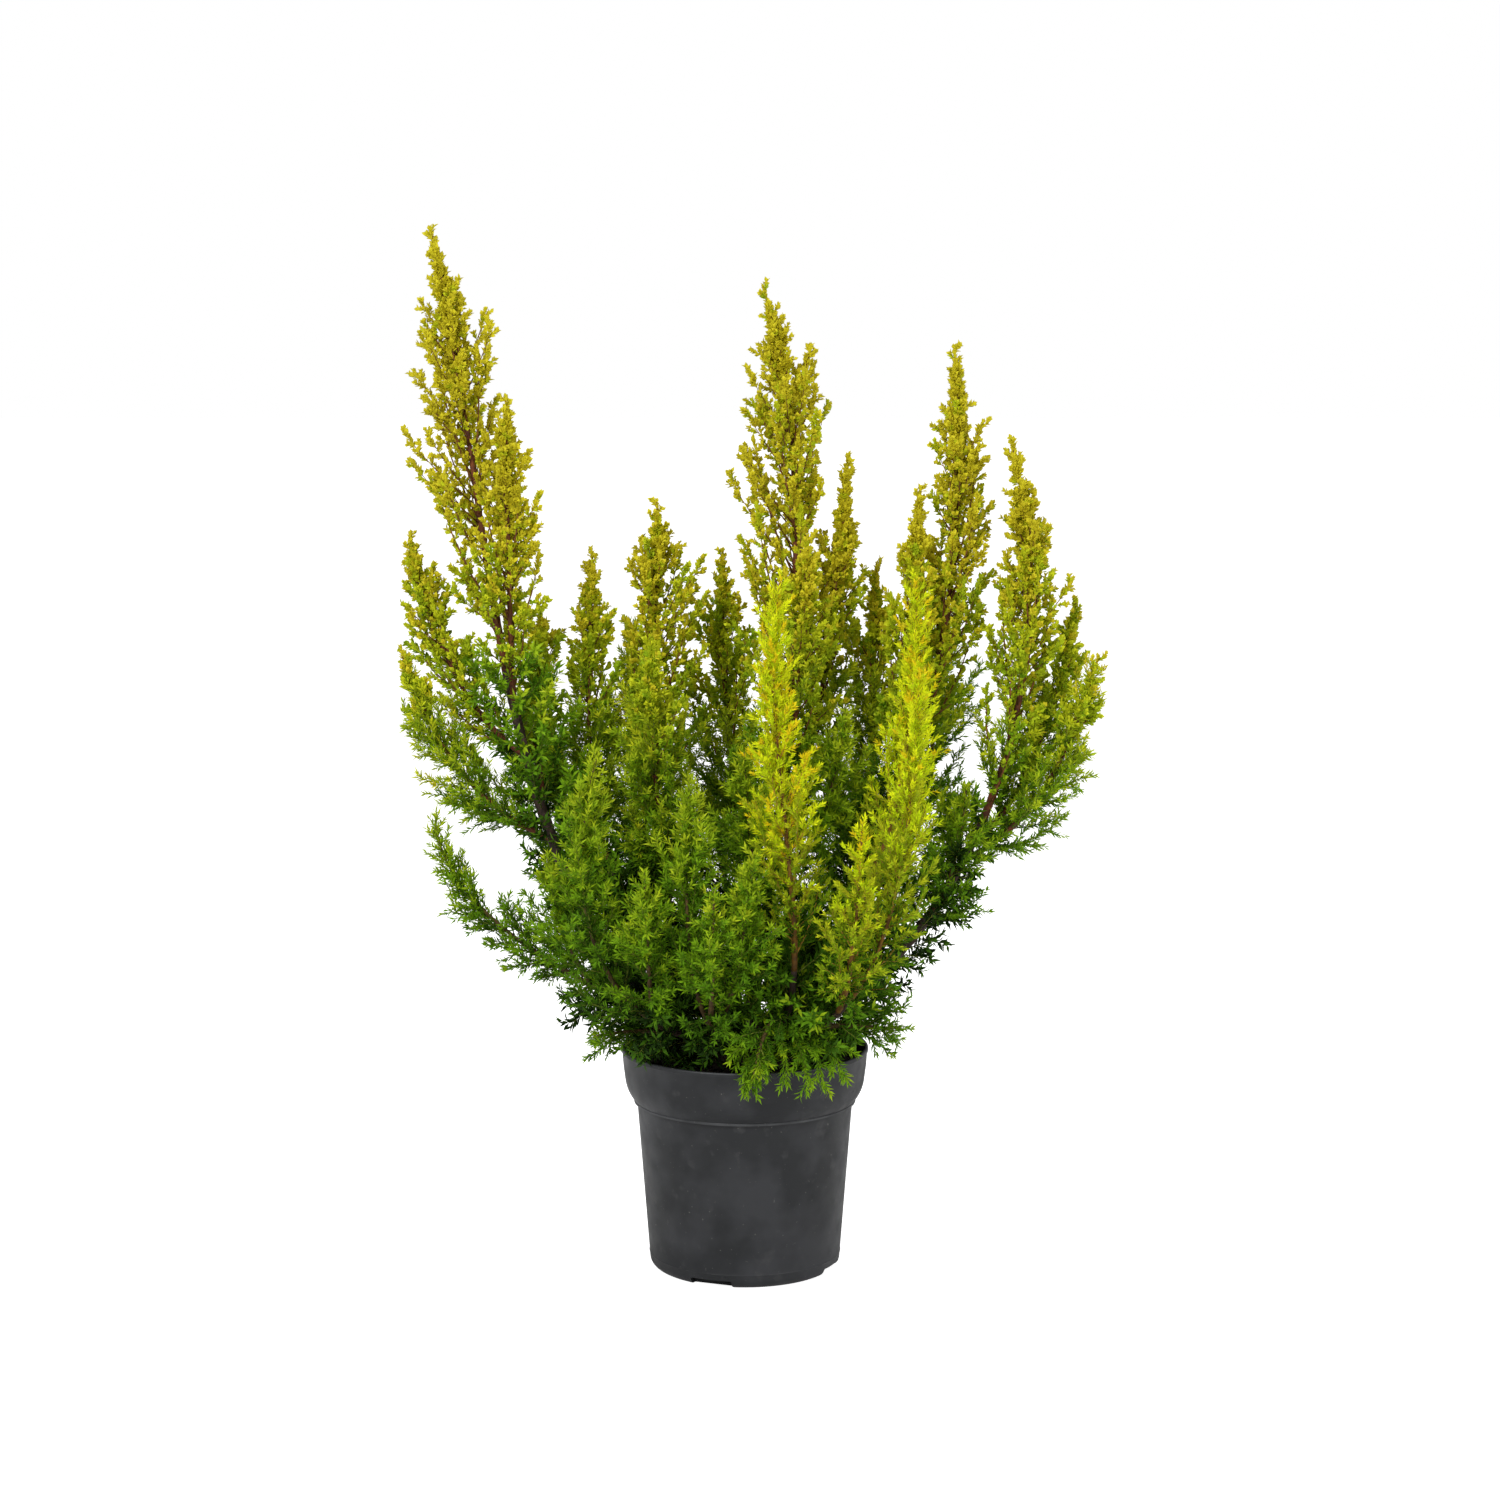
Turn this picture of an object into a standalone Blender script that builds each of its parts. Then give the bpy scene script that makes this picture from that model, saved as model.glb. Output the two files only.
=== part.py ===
"""Potted tree heath: a clump of upright, golden-green spires from one rootstock, in a round nursery pot.

Metres, +Z up. The origin is the middle of the pot's flat underside, and the plant's face looks towards -Y.
Fifteen boughs rise from the rootstock. Each has a spire of foliage on its tip, and most carry smaller spires
on their flanks. A mass of foliage is one stem with toothed sprays of needles fused to it.
"""

import math
from typing import NamedTuple

import bmesh
import bpy
import numpy as np
from mathutils import Matrix, Vector

MM = 0.001
GAP = 0.3 * MM
MERGE_DISTANCE = 0.01 * MM
TURNED_SMOOTH_ANGLE = math.radians(35)
BOUGH_SMOOTH_ANGLE = math.radians(70)

# Pot
POT_HEIGHT = 172 * MM
RIM_RADIUS = 95 * MM
RIM_ROUNDING = 0.8 * MM
COLLAR_HEIGHT = 42.5 * MM
COLLAR_FOOT_RADIUS = 84.5 * MM
COLLAR_LOW_RADIUS = 92 * MM
COLLAR_BEVEL_HEIGHT = 16.5 * MM
COLLAR_BEVEL_BULGE = 1 * MM
BODY_TOP_RADIUS = 83 * MM
BASE_RADIUS = 73.5 * MM
BASE_ROUNDING = 7 * MM
POT_WALL = 2.2 * MM
INNER_STEP_FOOT = 4 * MM
INNER_STEP_TOP = 18 * MM
POT_SIDES = 28
DRAIN_NOTCHES = 4
DRAIN_NOTCH_WIDTH = 33 * MM
DRAIN_NOTCH_HEIGHT = 6 * MM
DRAIN_NOTCH_DEPTH = 11 * MM
FIRST_DRAIN_ANGLE = math.radians(-111)

# Soil and rootstock
SOIL_TOP = 160 * MM
SOIL_FALL = 3 * MM
SOIL_LEVEL_RADIUS = 57 * MM
ROOTSTOCK_RADIUS = 34 * MM
ROOTSTOCK_HEIGHT = 27 * MM
ROOTSTOCK_FLARE = 1.13
ROOTSTOCK_SIDES = 24
ROOTSTOCK_RINGS = 6

# Boughs, and the curves that they and the stems follow
BOUGH_SIDES = 6
BOUGH_STEP = 36 * MM
BOUGH_END_SHARE = 0.6
BOUGH_RISE = 30 * MM
FLANK_REACH = 0.72
FLANK_LIFT = 0.22
PATH_STEPS = 80
HEADING_STEP = 4 * MM

# Stems, and the outline of a spire
STEM_SIDES = 3
STEM_STEP = 45 * MM
STEM_TIP_RADIUS = 0.9 * MM
FLANK_STEM_RADIUS = 2.5 * MM
WIDEST_SHARE = 0.3
FOOT_FULLNESS = 0.75
TIP_FULLNESS = 0.16
TAPER_POWER = 1.2

# Where the sprays stand on a stem
GOLDEN_ANGLE = math.pi * (3 - math.sqrt(5))
FIRST_SPRAY = 0.06
LAST_SPRAY = 0.96
SPRAY_PITCH_LOW = 27 * MM
SPRAY_PITCH_HIGH = 22 * MM
SPRAY_LEAN_LOW = math.radians(43)
SPRAY_LEAN_HIGH = math.radians(24)
SPRAY_TRIES = (1.0, 0.8, 0.62, 0.46)
SHORTEST_SPRAY = 17 * MM
UNEVENNESS = 0.1
UNEVEN_STEPS = 5
UNEVEN_BY_COUNT = 7
UNEVEN_BY_SEED = 3

# The shape of a spray
SPRAY_BREADTH = 0.26
SPRAY_MOST_BREADTH = 13.5 * MM
SPRAY_ROOT_SHARE = 0.4
LONG_SPRAY = 52 * MM
WHORL_TAPER = 0.45
NOTCH_SHARE = 0.36
TOOTH_PLACE = 1.1
SPRAY_END_PLACE = 0.6

# Room between a mass and whatever is near it
FOLIAGE_CLEAR = 0.9 * MM
POT_CLEAR = 1.2 * MM
SPACE_STEP = 14 * MM


class Limb(NamedTuple):
    """A bough that rises from the rootstock, and the spire on its tip. Lengths are in millimetres.

    The bough leaves the rootstock at an azimuth and a slope in degrees, bends up at the knee and straightens
    at the neck. tip is the spire's highest point, bare the share of the whole length that is bough, width
    the spire's widest half-width and thick the bough's radius at its foot.
    """

    name: str
    foot: tuple
    knee: tuple
    neck: tuple
    tip: tuple
    bare: float
    width: float
    thick: float
    tint: str


class Flank(NamedTuple):
    """A smaller spire that leaves a bough's side, at a share of the limb's whole length. Millimetres.

    tip is its highest point, width its widest half-width, and arch lifts the bend of its stem.
    """

    name: str
    limb: str
    at: float
    tip: tuple
    width: float
    tint: str
    arch: float = 0.0


LIMBS = [
    Limb("left_tall", (160, 30), (-206, 5, 240), (-182, 20, 575), (-236, 20, 793), 0.50, 48, 5.6, "lime"),
    Limb("left_low", (-172, 30), (-140, -35, 230), (-232, -45, 286), (-232, -40, 357),
         0.36, 24, 3.4, "green"),
    Limb("left_thin", (180, 64), (-155, 45, 260), (-118, 62, 410), (-118, 60, 546), 0.38, 32, 3.6, "lime"),
    Limb("left_mid", (128, 64), (-115, 75, 260), (-60, 66, 430), (-68, 60, 586), 0.36, 54, 4.2, "lime"),
    Limb("left_front", (-140, 30), (-130, -112, 205), (-130, -118, 330), (-107, -110, 412),
         0.26, 36, 3.4, "green"),
    Limb("front_left", (-106, 30), (-48, -118, 205), (-44, -120, 300), (-40, -110, 396),
         0.25, 32, 3.2, "green"),
    Limb("centre_tall", (75, 64), (25, 40, 300), (68, 42, 580), (14, 40, 750), 0.36, 58, 5.2, "lime"),
    Limb("front_gold", (-70, 30), (80, -125, 215), (0, -112, 400), (26, -100, 540), 0.26, 34, 3.8, "gold"),
    Limb("right_tall", (15, 64), (105, 20, 235), (184, 22, 480), (158, 20, 704), 0.40, 42, 5.0, "lime"),
    Limb("right_gold", (-42, 64), (105, -62, 245), (130, -62, 390), (127, -50, 536), 0.34, 32, 3.6, "gold"),
    Limb("right_near", (-38, 30), (106, -130, 205), (120, -140, 330), (126, -122, 476),
         0.27, 28, 3.4, "gold"),
    Limb("right_wide", (2, 30), (168, -5, 234), (254, 0, 430), (200, 0, 635), 0.44, 36, 5.2, "lime"),
    Limb("back_left", (122, 30), (-100, 140, 215), (-95, 155, 360), (-88, 150, 486),
         0.30, 44, 3.8, "green"),
    Limb("back_mid", (84, 30), (5, 135, 220), (-20, 138, 390), (-18, 116, 544), 0.30, 44, 4.2, "lime"),
    Limb("back_right", (44, 30), (130, 112, 215), (160, 125, 360), (156, 115, 516), 0.32, 42, 4.0, "green"),
]

FLANKS = [
    Flank("left_tall_low", "left_tall", 0.30, (-261, 2, 479), 28, "lime"),
    Flank("left_tall_outer", "left_tall", 0.40, (-256, 34, 562), 30, "lime"),
    Flank("left_tall_inner", "left_tall", 0.34, (-158, 56, 500), 34, "lime"),
    Flank("left_tall_front", "left_tall", 0.46, (-178, -14, 668), 32, "lime"),
    Flank("left_low_inner", "left_low", 0.32, (-146, -76, 332), 34, "green"),
    Flank("left_thin_outer", "left_thin", 0.30, (-150, 30, 420), 32, "green"),
    Flank("left_mid_inner", "left_mid", 0.26, (-71, -28, 490), 38, "lime", 6),
    Flank("left_front_inner", "left_front", 0.22, (-72, -142, 332), 32, "green"),
    Flank("left_front_hem", "left_front", 0.16, (-112, -48, 190), 26, "green"),
    Flank("front_left_low", "front_left", 0.22, (-22, -160, 322), 28, "green"),
    Flank("front_middle", "front_left", 0.17, (6, -146, 346), 32, "green", 10),
    Flank("front_hem", "front_gold", 0.15, (6, -120, 172), 28, "green", 14),
    Flank("centre_near", "centre_tall", 0.28, (47, -20, 564), 38, "lime", 20),
    Flank("centre_front", "centre_tall", 0.14, (0, -62, 408), 38, "green"),
    Flank("centre_right", "centre_tall", 0.20, (76, -66, 438), 38, "green"),
    Flank("centre_back", "centre_tall", 0.26, (79, 46, 621), 30, "lime"),
    Flank("right_tall_inner", "right_tall", 0.36, (132, 0, 600), 28, "lime", 20),
    Flank("right_tall_back", "right_tall", 0.24, (103, 84, 536), 38, "lime"),
    Flank("right_near_low", "right_near", 0.23, (84, -158, 370), 28, "gold"),
    Flank("right_near_hem", "right_near", 0.16, (114, -50, 196), 24, "green"),
    Flank("right_wide_outer", "right_wide", 0.38, (266, -14, 474), 28, "lime"),
    Flank("right_wide_back", "right_wide", 0.40, (254, 34, 512), 30, "lime"),
    Flank("right_wide_low", "right_wide", 0.28, (166, -46, 380), 32, "green"),
    Flank("back_left_outer", "back_left", 0.26, (-180, 110, 438), 42, "green", 10),
    Flank("back_left_hem", "back_left", 0.17, (-100, 70, 206), 30, "green"),
    Flank("back_mid_low", "back_mid", 0.24, (-30, 190, 354), 42, "green"),
    Flank("back_right_low", "back_right", 0.26, (90, 175, 364), 42, "green"),
]


def clear_scene():
    """Removes every object, so that the scene holds the plant alone."""
    for thing in list(bpy.data.objects):
        bpy.data.objects.remove(thing, do_unlink=True)


def material(name, colour, roughness):
    """A Principled material of one colour."""
    made = bpy.data.materials.new(name)
    made.use_nodes = True
    shader = made.node_tree.nodes["Principled BSDF"]
    shader.inputs["Base Color"].default_value = (*colour, 1)
    shader.inputs["Roughness"].default_value = roughness
    shader.inputs["Metallic"].default_value = 0
    return made


def add_object(name, bm, finish, smooth_angle=None):
    """Turns a bmesh into an object of the scene."""
    mesh = bpy.data.meshes.new(name)
    bmesh.ops.recalc_face_normals(bm, faces=bm.faces)
    bm.to_mesh(mesh)
    bm.free()
    mesh.materials.append(finish)
    if smooth_angle is not None:
        mesh.shade_smooth()
        mesh.set_sharp_from_angle(angle=smooth_angle)
    made = bpy.data.objects.new(name, mesh)
    bpy.context.scene.collection.objects.link(made)
    return made


def arc(centre, radius, first, last, steps=2):
    """Profile points along an arc, between two angles in degrees."""
    angles = [math.radians(first + (last - first) * step / steps) for step in range(steps + 1)]
    return [(centre[0] + radius * math.cos(angle), centre[1] + radius * math.sin(angle)) for angle in angles]


def turned(name, profile, sides, finish):
    """A body of revolution about +Z from (radius, height) points that start and end on the axis."""
    bm = bmesh.new()
    line = [bm.verts.new((radius, 0, height)) for radius, height in profile]
    edges = [bm.edges.new(pair) for pair in zip(line, line[1:])]
    axis, centre = (0, 0, 1), (0, 0, 0)
    bmesh.ops.spin(bm, geom=line + edges, axis=axis, cent=centre, angle=2 * math.pi, steps=sides)
    bmesh.ops.remove_doubles(bm, verts=bm.verts, dist=MERGE_DISTANCE)
    return add_object(name, bm, finish, TURNED_SMOOTH_ANGLE)


def make_drain_cutter(angle):
    """A block across the pot's bottom edge, which leaves one drain notch."""
    bm = bmesh.new()
    bmesh.ops.create_cube(bm, size=1)
    scale = Matrix.Diagonal((2 * DRAIN_NOTCH_DEPTH, DRAIN_NOTCH_WIDTH, 2 * DRAIN_NOTCH_HEIGHT, 1))
    place = Matrix.Rotation(angle, 4, "Z") @ Matrix.Translation((BASE_RADIUS, 0, 0))
    bmesh.ops.transform(bm, matrix=place @ scale, verts=bm.verts)
    cutter = add_object("drain_cutter", bm, None)
    cutter.hide_render = True
    cutter.display_type = "WIRE"
    return cutter


def make_pot(finish):
    """The pot: a flat floor, a tapering wall, a wider collar with a bevelled foot and four drain notches."""
    collar_foot = POT_HEIGHT - COLLAR_HEIGHT
    bulge_radius = (COLLAR_FOOT_RADIUS + COLLAR_LOW_RADIUS) / 2 + COLLAR_BEVEL_BULGE
    outer = [
        (0, 0),
        *arc((BASE_RADIUS - BASE_ROUNDING, BASE_ROUNDING), BASE_ROUNDING, -90, 0),
        (BODY_TOP_RADIUS, collar_foot),
        (COLLAR_FOOT_RADIUS, collar_foot),
        (bulge_radius, collar_foot + COLLAR_BEVEL_HEIGHT / 2),
        (COLLAR_LOW_RADIUS, collar_foot + COLLAR_BEVEL_HEIGHT),
        *arc((RIM_RADIUS - RIM_ROUNDING, POT_HEIGHT - RIM_ROUNDING), RIM_ROUNDING, 0, 90),
    ]
    inner = [
        (RIM_RADIUS - POT_WALL, POT_HEIGHT),
        (COLLAR_LOW_RADIUS - POT_WALL, collar_foot + INNER_STEP_TOP),
        (BODY_TOP_RADIUS - POT_WALL, collar_foot + INNER_STEP_FOOT),
        (BASE_RADIUS - POT_WALL, BASE_ROUNDING),
        (BASE_RADIUS - BASE_ROUNDING, POT_WALL),
        (0, POT_WALL),
    ]
    pot = turned("pot", outer + inner, POT_SIDES, finish)
    for step in range(DRAIN_NOTCHES):
        cutter = make_drain_cutter(FIRST_DRAIN_ANGLE + step * 2 * math.pi / DRAIN_NOTCHES)
        notch = pot.modifiers.new(f"drain notch {step + 1}", "BOOLEAN")
        notch.operation = "DIFFERENCE"
        notch.object = cutter


def make_soil(finish):
    """The root ball and soil, a hair's breadth inside the pot, level in the middle and lower at the wall."""
    collar_foot = POT_HEIGHT - COLLAR_HEIGHT
    inset = POT_WALL + 2 * GAP
    profile = [
        (0, POT_WALL + GAP),
        (BASE_RADIUS - BASE_ROUNDING - GAP, POT_WALL + GAP),
        (BASE_RADIUS - inset, BASE_ROUNDING + GAP),
        (BODY_TOP_RADIUS - inset, collar_foot + INNER_STEP_FOOT),
        (COLLAR_LOW_RADIUS - inset, collar_foot + INNER_STEP_TOP + GAP),
        (COLLAR_LOW_RADIUS - inset, SOIL_TOP - SOIL_FALL),
        (SOIL_LEVEL_RADIUS, SOIL_TOP),
        (0, SOIL_TOP),
    ]
    turned("soil", profile, POT_SIDES, finish)


def rootstock_place(slope):
    """Radius and height above the soil of the rootstock's surface: its edge at 0, its top at 90 degrees."""
    return ROOTSTOCK_RADIUS * math.cos(slope), ROOTSTOCK_HEIGHT * math.sin(slope)


def make_rootstock(finish):
    """The low, flared rootstock that all boughs spring from, cut flat where it stands on the soil."""
    floor = SOIL_TOP + GAP
    profile = [(0, floor), (ROOTSTOCK_RADIUS * ROOTSTOCK_FLARE, floor)]
    for step in range(1, ROOTSTOCK_RINGS):
        radius, rise = rootstock_place(step / ROOTSTOCK_RINGS * math.pi / 2)
        profile.append((radius, floor + rise))
    turned("rootstock", [*profile, (0, floor + ROOTSTOCK_HEIGHT)], ROOTSTOCK_SIDES, finish)


def bezier(handles, share):
    """The point at a share of a Bezier curve with any number of handles."""
    points = list(handles)
    while len(points) > 1:
        points = [a.lerp(b, share) for a, b in zip(points, points[1:])]
    return points[0]


class Path:
    """A smooth curve, measured by the distance along it."""

    def __init__(self, handles):
        self.points = np.array([bezier(handles, step / PATH_STEPS) for step in range(PATH_STEPS + 1)])
        runs = np.linalg.norm(np.diff(self.points, axis=0), axis=1)
        self.reach = np.concatenate(([0.0], np.cumsum(runs)))
        self.length = float(self.reach[-1])

    def point(self, distance):
        """The point at a distance from the curve's start."""
        return Vector([float(np.interp(distance, self.reach, self.points[:, axis])) for axis in range(3)])

    def heading(self, distance):
        """The unit direction of the curve at a distance from its start."""
        return (self.point(distance + HEADING_STEP) - self.point(distance - HEADING_STEP)).normalized()


class Axis:
    """The middle line of a bough or a stem, and its solid's radius from start to end.

    The foot is cut square, or else flat to a seat: the way that the surface under it faces.
    """

    def __init__(self, path, start, end, foot_radius, end_radius, seat=None):
        self.path = path
        self.seat = seat
        self.start = start
        self.foot_radius = foot_radius
        self.end_radius = end_radius
        self.length = end - start

    def radius(self, share):
        """Radius of the solid at a share of its length."""
        return self.foot_radius + share * (self.end_radius - self.foot_radius)

    def point(self, share):
        """The point of the middle line at a share of its length."""
        return self.path.point(self.start + share * self.length)

    def heading(self, share):
        """The unit direction of the middle line at a share of its length."""
        return self.path.heading(self.start + share * self.length)

    def line(self, step=SPACE_STEP):
        """Points along the middle line, about a step apart, as rows of an array."""
        count = max(2, round(self.length / step))
        return np.array([self.point(i / count) for i in range(count + 1)])


def distances(points, line):
    """The least distance from each point to a line of points joined by straight runs."""
    start, run = line[:-1], line[1:] - line[:-1]
    along = ((points[:, None] - start) * run).sum(2) / (run * run).sum(1)
    nearest = start + np.clip(along, 0, 1)[..., None] * run
    return np.linalg.norm(points[:, None] - nearest, axis=2).min(1)


def circle(centre, heading, across, radius, sides, turn=0.0):
    """Points evenly round a centre, square to a heading, from the side that across points to."""
    side = (across - heading * across.dot(heading)).normalized()
    beside = heading.cross(side)
    angles = [turn + 2 * math.pi * i / sides for i in range(sides)]
    return [centre + radius * (side * math.cos(a) + beside * math.sin(a)) for a in angles]


def sleeve(bm, rings, apex=None):
    """Skins rings that have the same number of points, with a flat foot and a flat or pointed end."""
    loops = [[bm.verts.new(point) for point in points] for points in rings]
    for low, high in zip(loops, loops[1:]):
        for i, near in enumerate(low):
            j = (i + 1) % len(low)
            bm.faces.new((near, low[j], high[i]))
            bm.faces.new((low[j], high[j], high[i]))
    bm.faces.new(loops[0][::-1])
    if apex is None:
        bm.faces.new(loops[-1])
        return
    point = bm.verts.new(apex)
    for i, near in enumerate(loops[-1]):
        bm.faces.new((near, loops[-1][(i + 1) % len(loops[-1])], point))


def axis_rings(axis, step, sides):
    """Rings along an axis, about a step apart, that do not twist from one to the next."""
    count = max(2, round(axis.length / step))
    side = axis.heading(0).orthogonal()
    rings = [
        circle(axis.point(i / count), axis.heading(i / count), side, axis.radius(i / count), sides)
        for i in range(count + 1)
    ]
    if axis.seat is not None:
        foot, heading = axis.point(0), axis.heading(0)
        rings[0] = [p - heading * (p - foot).dot(axis.seat) / heading.dot(axis.seat) for p in rings[0]]
    return rings


def limb_axes(limb):
    """The middle lines of a limb's bough and of the spire on its tip."""
    azimuth, slope = (math.radians(angle) for angle in limb.foot)
    radius, rise = rootstock_place(slope)
    outward = Vector((math.cos(azimuth), math.sin(azimuth), 0))
    foot = outward * radius + Vector((0, 0, SOIL_TOP + GAP + rise))
    normal = outward * radius / ROOTSTOCK_RADIUS**2 + Vector((0, 0, rise / ROOTSTOCK_HEIGHT**2))
    normal.normalize()
    knee, neck, tip = (Vector(place) * MM for place in (limb.knee, limb.neck, limb.tip))
    path = Path([foot, foot + normal * BOUGH_RISE, knee, neck, tip])
    foot_radius = limb.thick * MM
    end_radius = foot_radius * BOUGH_END_SHARE
    seam = limb.bare * path.length
    bough = Axis(path, GAP, seam, foot_radius, end_radius)
    spire = Axis(path, seam + GAP, path.length, end_radius, STEM_TIP_RADIUS)
    return bough, spire


def flank_axis(flank, bough):
    """The middle line of a smaller spire: out from the bough's side first, then up to its own tip."""
    line = bough.line(BOUGH_STEP)
    share = (flank.at * bough.path.length - bough.start) / bough.length
    run, rest = divmod(share * (len(line) - 1), 1)
    low, high = Vector(line[int(run)]), Vector(line[int(run) + 1])
    root, along = low.lerp(high, rest), (high - low).normalized()
    tip = Vector(flank.tip) * MM
    out = Vector((tip.x - root.x, tip.y - root.y, 0))
    lift = FLANK_LIFT * (tip.z - root.z) + flank.arch * MM
    bend = root + out * FLANK_REACH + Vector((0, 0, lift))
    path = Path([root, bend, tip])
    heading = (bend - root).normalized()
    seat = (heading - along * heading.dot(along)).normalized()
    start = (bough.radius(share) + GAP) / heading.dot(seat)
    return Axis(path, start, path.length, FLANK_STEM_RADIUS, STEM_TIP_RADIUS, seat)


def fullness(share):
    """How much of its widest half-width a spire has, from its foot at 0 to its tip at 1."""
    if share < WIDEST_SHARE:
        return 1 - (1 - FOOT_FULLNESS) * (1 - share / WIDEST_SHARE) ** 2
    return 1 - (1 - TIP_FULLNESS) * ((share - WIDEST_SHARE) / (1 - WIDEST_SHARE)) ** TAPER_POWER


class Crown:
    """Every mass's own space: nearer to its stem than to any other, clear of boughs, pot and soil."""

    def __init__(self, boughs, stems):
        self.bough_lines = [(axis.line(), axis.foot_radius) for axis in boughs]
        self.stem_lines = {name: axis.line() for name, axis in stems.items()}

    def holds(self, name, points):
        """True if all the points lie in the space of the mass of this name."""
        points = np.array(points)
        own = distances(points, self.stem_lines[name])
        for other, line in self.stem_lines.items():
            if other != name and (distances(points, line) < own + 2 * FOLIAGE_CLEAR).any():
                return False
        for line, radius in self.bough_lines:
            if (distances(points, line) < radius + FOLIAGE_CLEAR).any():
                return False
        out = np.hypot(points[:, 0], points[:, 1])
        above_rim = points[:, 2] > POT_HEIGHT + POT_CLEAR
        beside_pot = out > RIM_RADIUS + POT_CLEAR
        in_mouth = (out < COLLAR_LOW_RADIUS - POT_WALL - POT_CLEAR) & (points[:, 2] > SOIL_TOP + POT_CLEAR)
        return bool((above_rim | beside_pot | in_mouth).all())


def spray_rings(root, heading, across, length, twig):
    """The rings of one spray: a slim three-sided core whose corners are drawn out in whorls of teeth."""
    whorls = 3 if length > LONG_SPRAY else 2
    pitch = length / (whorls + SPRAY_END_PLACE)
    breadth = min(SPRAY_BREADTH * length, SPRAY_MOST_BREADTH)
    rings = [circle(root, heading, across, twig, 3)]
    for whorl in range(whorls):
        turn = whorl * math.pi / 3
        spread = breadth * (1 - WHORL_TAPER * whorl / whorls)
        if whorl > 0:
            notch = root + heading * pitch * whorl
            rings.append(circle(notch, heading, across, NOTCH_SHARE * spread, 3, turn))
        tooth = root + heading * pitch * (whorl + TOOTH_PLACE)
        rings.append(circle(tooth, heading, across, spread, 3, turn + math.pi / 3))
    return rings


def unevenness(count, seed):
    """A factor about 1 that makes neighbouring sprays differ in length, by a fixed rule."""
    step = (count * UNEVEN_BY_COUNT + seed * UNEVEN_BY_SEED) % UNEVEN_STEPS
    return 1 + UNEVENNESS * (2 * step / (UNEVEN_STEPS - 1) - 1)


def sprays_of(name, axis, width, crown, seed):
    """The sprays of one mass, round its stem by the golden angle, each cut short to stay in its space."""
    found = []
    done, count = FIRST_SPRAY, 0
    turn = seed * GOLDEN_ANGLE / 2
    while done < LAST_SPRAY:
        root, along = axis.point(done), axis.heading(done)
        lean = SPRAY_LEAN_LOW + done * (SPRAY_LEAN_HIGH - SPRAY_LEAN_LOW)
        outward = circle(Vector(), along, Vector((1, 0, 0)), 1.0, 1, turn)[0]
        heading = (along * math.cos(lean) + outward * math.sin(lean)).normalized()
        full_length = unevenness(count, seed) * width * fullness(done) / math.sin(lean)
        twig = SPRAY_ROOT_SHARE * axis.radius(done)
        for shorter in SPRAY_TRIES:
            length = shorter * full_length
            rings = spray_rings(root, heading, along, length, twig)
            apex = root + heading * length
            tested = [point for ring in rings[1:] for point in ring] + [apex]
            tested += [point.lerp(apex, 0.5) for point in rings[-1]]
            tested += [root.lerp(point, 0.5) for point in rings[1]]
            if length > SHORTEST_SPRAY and crown.holds(name, tested):
                found.append((rings, apex))
                break
        turn += GOLDEN_ANGLE
        count += 1
        done += (SPRAY_PITCH_LOW + done * (SPRAY_PITCH_HIGH - SPRAY_PITCH_LOW)) / axis.length
    return found


def loose_parts(bm):
    """The faces of each separate body in a bmesh, as lists."""
    left, parts = set(bm.faces), []
    while left:
        part, edge = [], [left.pop()]
        while edge:
            face = edge.pop()
            part.append(face)
            near = {other for line in face.edges for other in line.link_faces} & left
            left -= near
            edge += near
        parts.append(part)
    return parts


def joined_mesh(stem, sprays, solver):
    """The stem with the sprays fused on by one Boolean union, as a bmesh with any loose scraps dropped."""
    union = stem.modifiers.new("sprays", "BOOLEAN")
    union.operation = "UNION"
    union.operand_type = "COLLECTION"
    union.collection = sprays
    union.solver = solver
    evaluated = stem.evaluated_get(bpy.context.evaluated_depsgraph_get())
    joined = bmesh.new()
    joined.from_mesh(evaluated.to_mesh())
    evaluated.to_mesh_clear()
    stem.modifiers.remove(union)
    bmesh.ops.triangulate(joined, faces=joined.faces)
    scraps = sorted(loose_parts(joined), key=len)[:-1]
    bmesh.ops.delete(joined, geom=[face for part in scraps for face in part], context="FACES")
    return joined


def make_mass(name, axis, width, crown, finish, seed):
    """One mass of foliage: its stem with every spray fused on, as one closed body."""
    bm = bmesh.new()
    sleeve(bm, axis_rings(axis, STEM_STEP, STEM_SIDES)[:-1], axis.point(1))
    stem = add_object(name + "_foliage", bm, finish)
    group = bpy.data.collections.new(name + "_sprays")
    bpy.context.scene.collection.children.link(group)
    for rings, apex in sprays_of(name, axis, width, crown, seed):
        bm = bmesh.new()
        sleeve(bm, rings, apex)
        spray = add_object("spray", bm, finish)
        bpy.context.scene.collection.objects.unlink(spray)
        group.objects.link(spray)
    bpy.context.view_layer.update()
    joined = joined_mesh(stem, group, "EXACT")
    if not all(edge.is_manifold for edge in joined.edges):
        joined = joined_mesh(stem, group, "MANIFOLD")
    for spray in list(group.objects):
        bpy.data.objects.remove(spray, do_unlink=True)
    bpy.data.collections.remove(group)
    joined.to_mesh(stem.data)
    joined.free()


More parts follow.
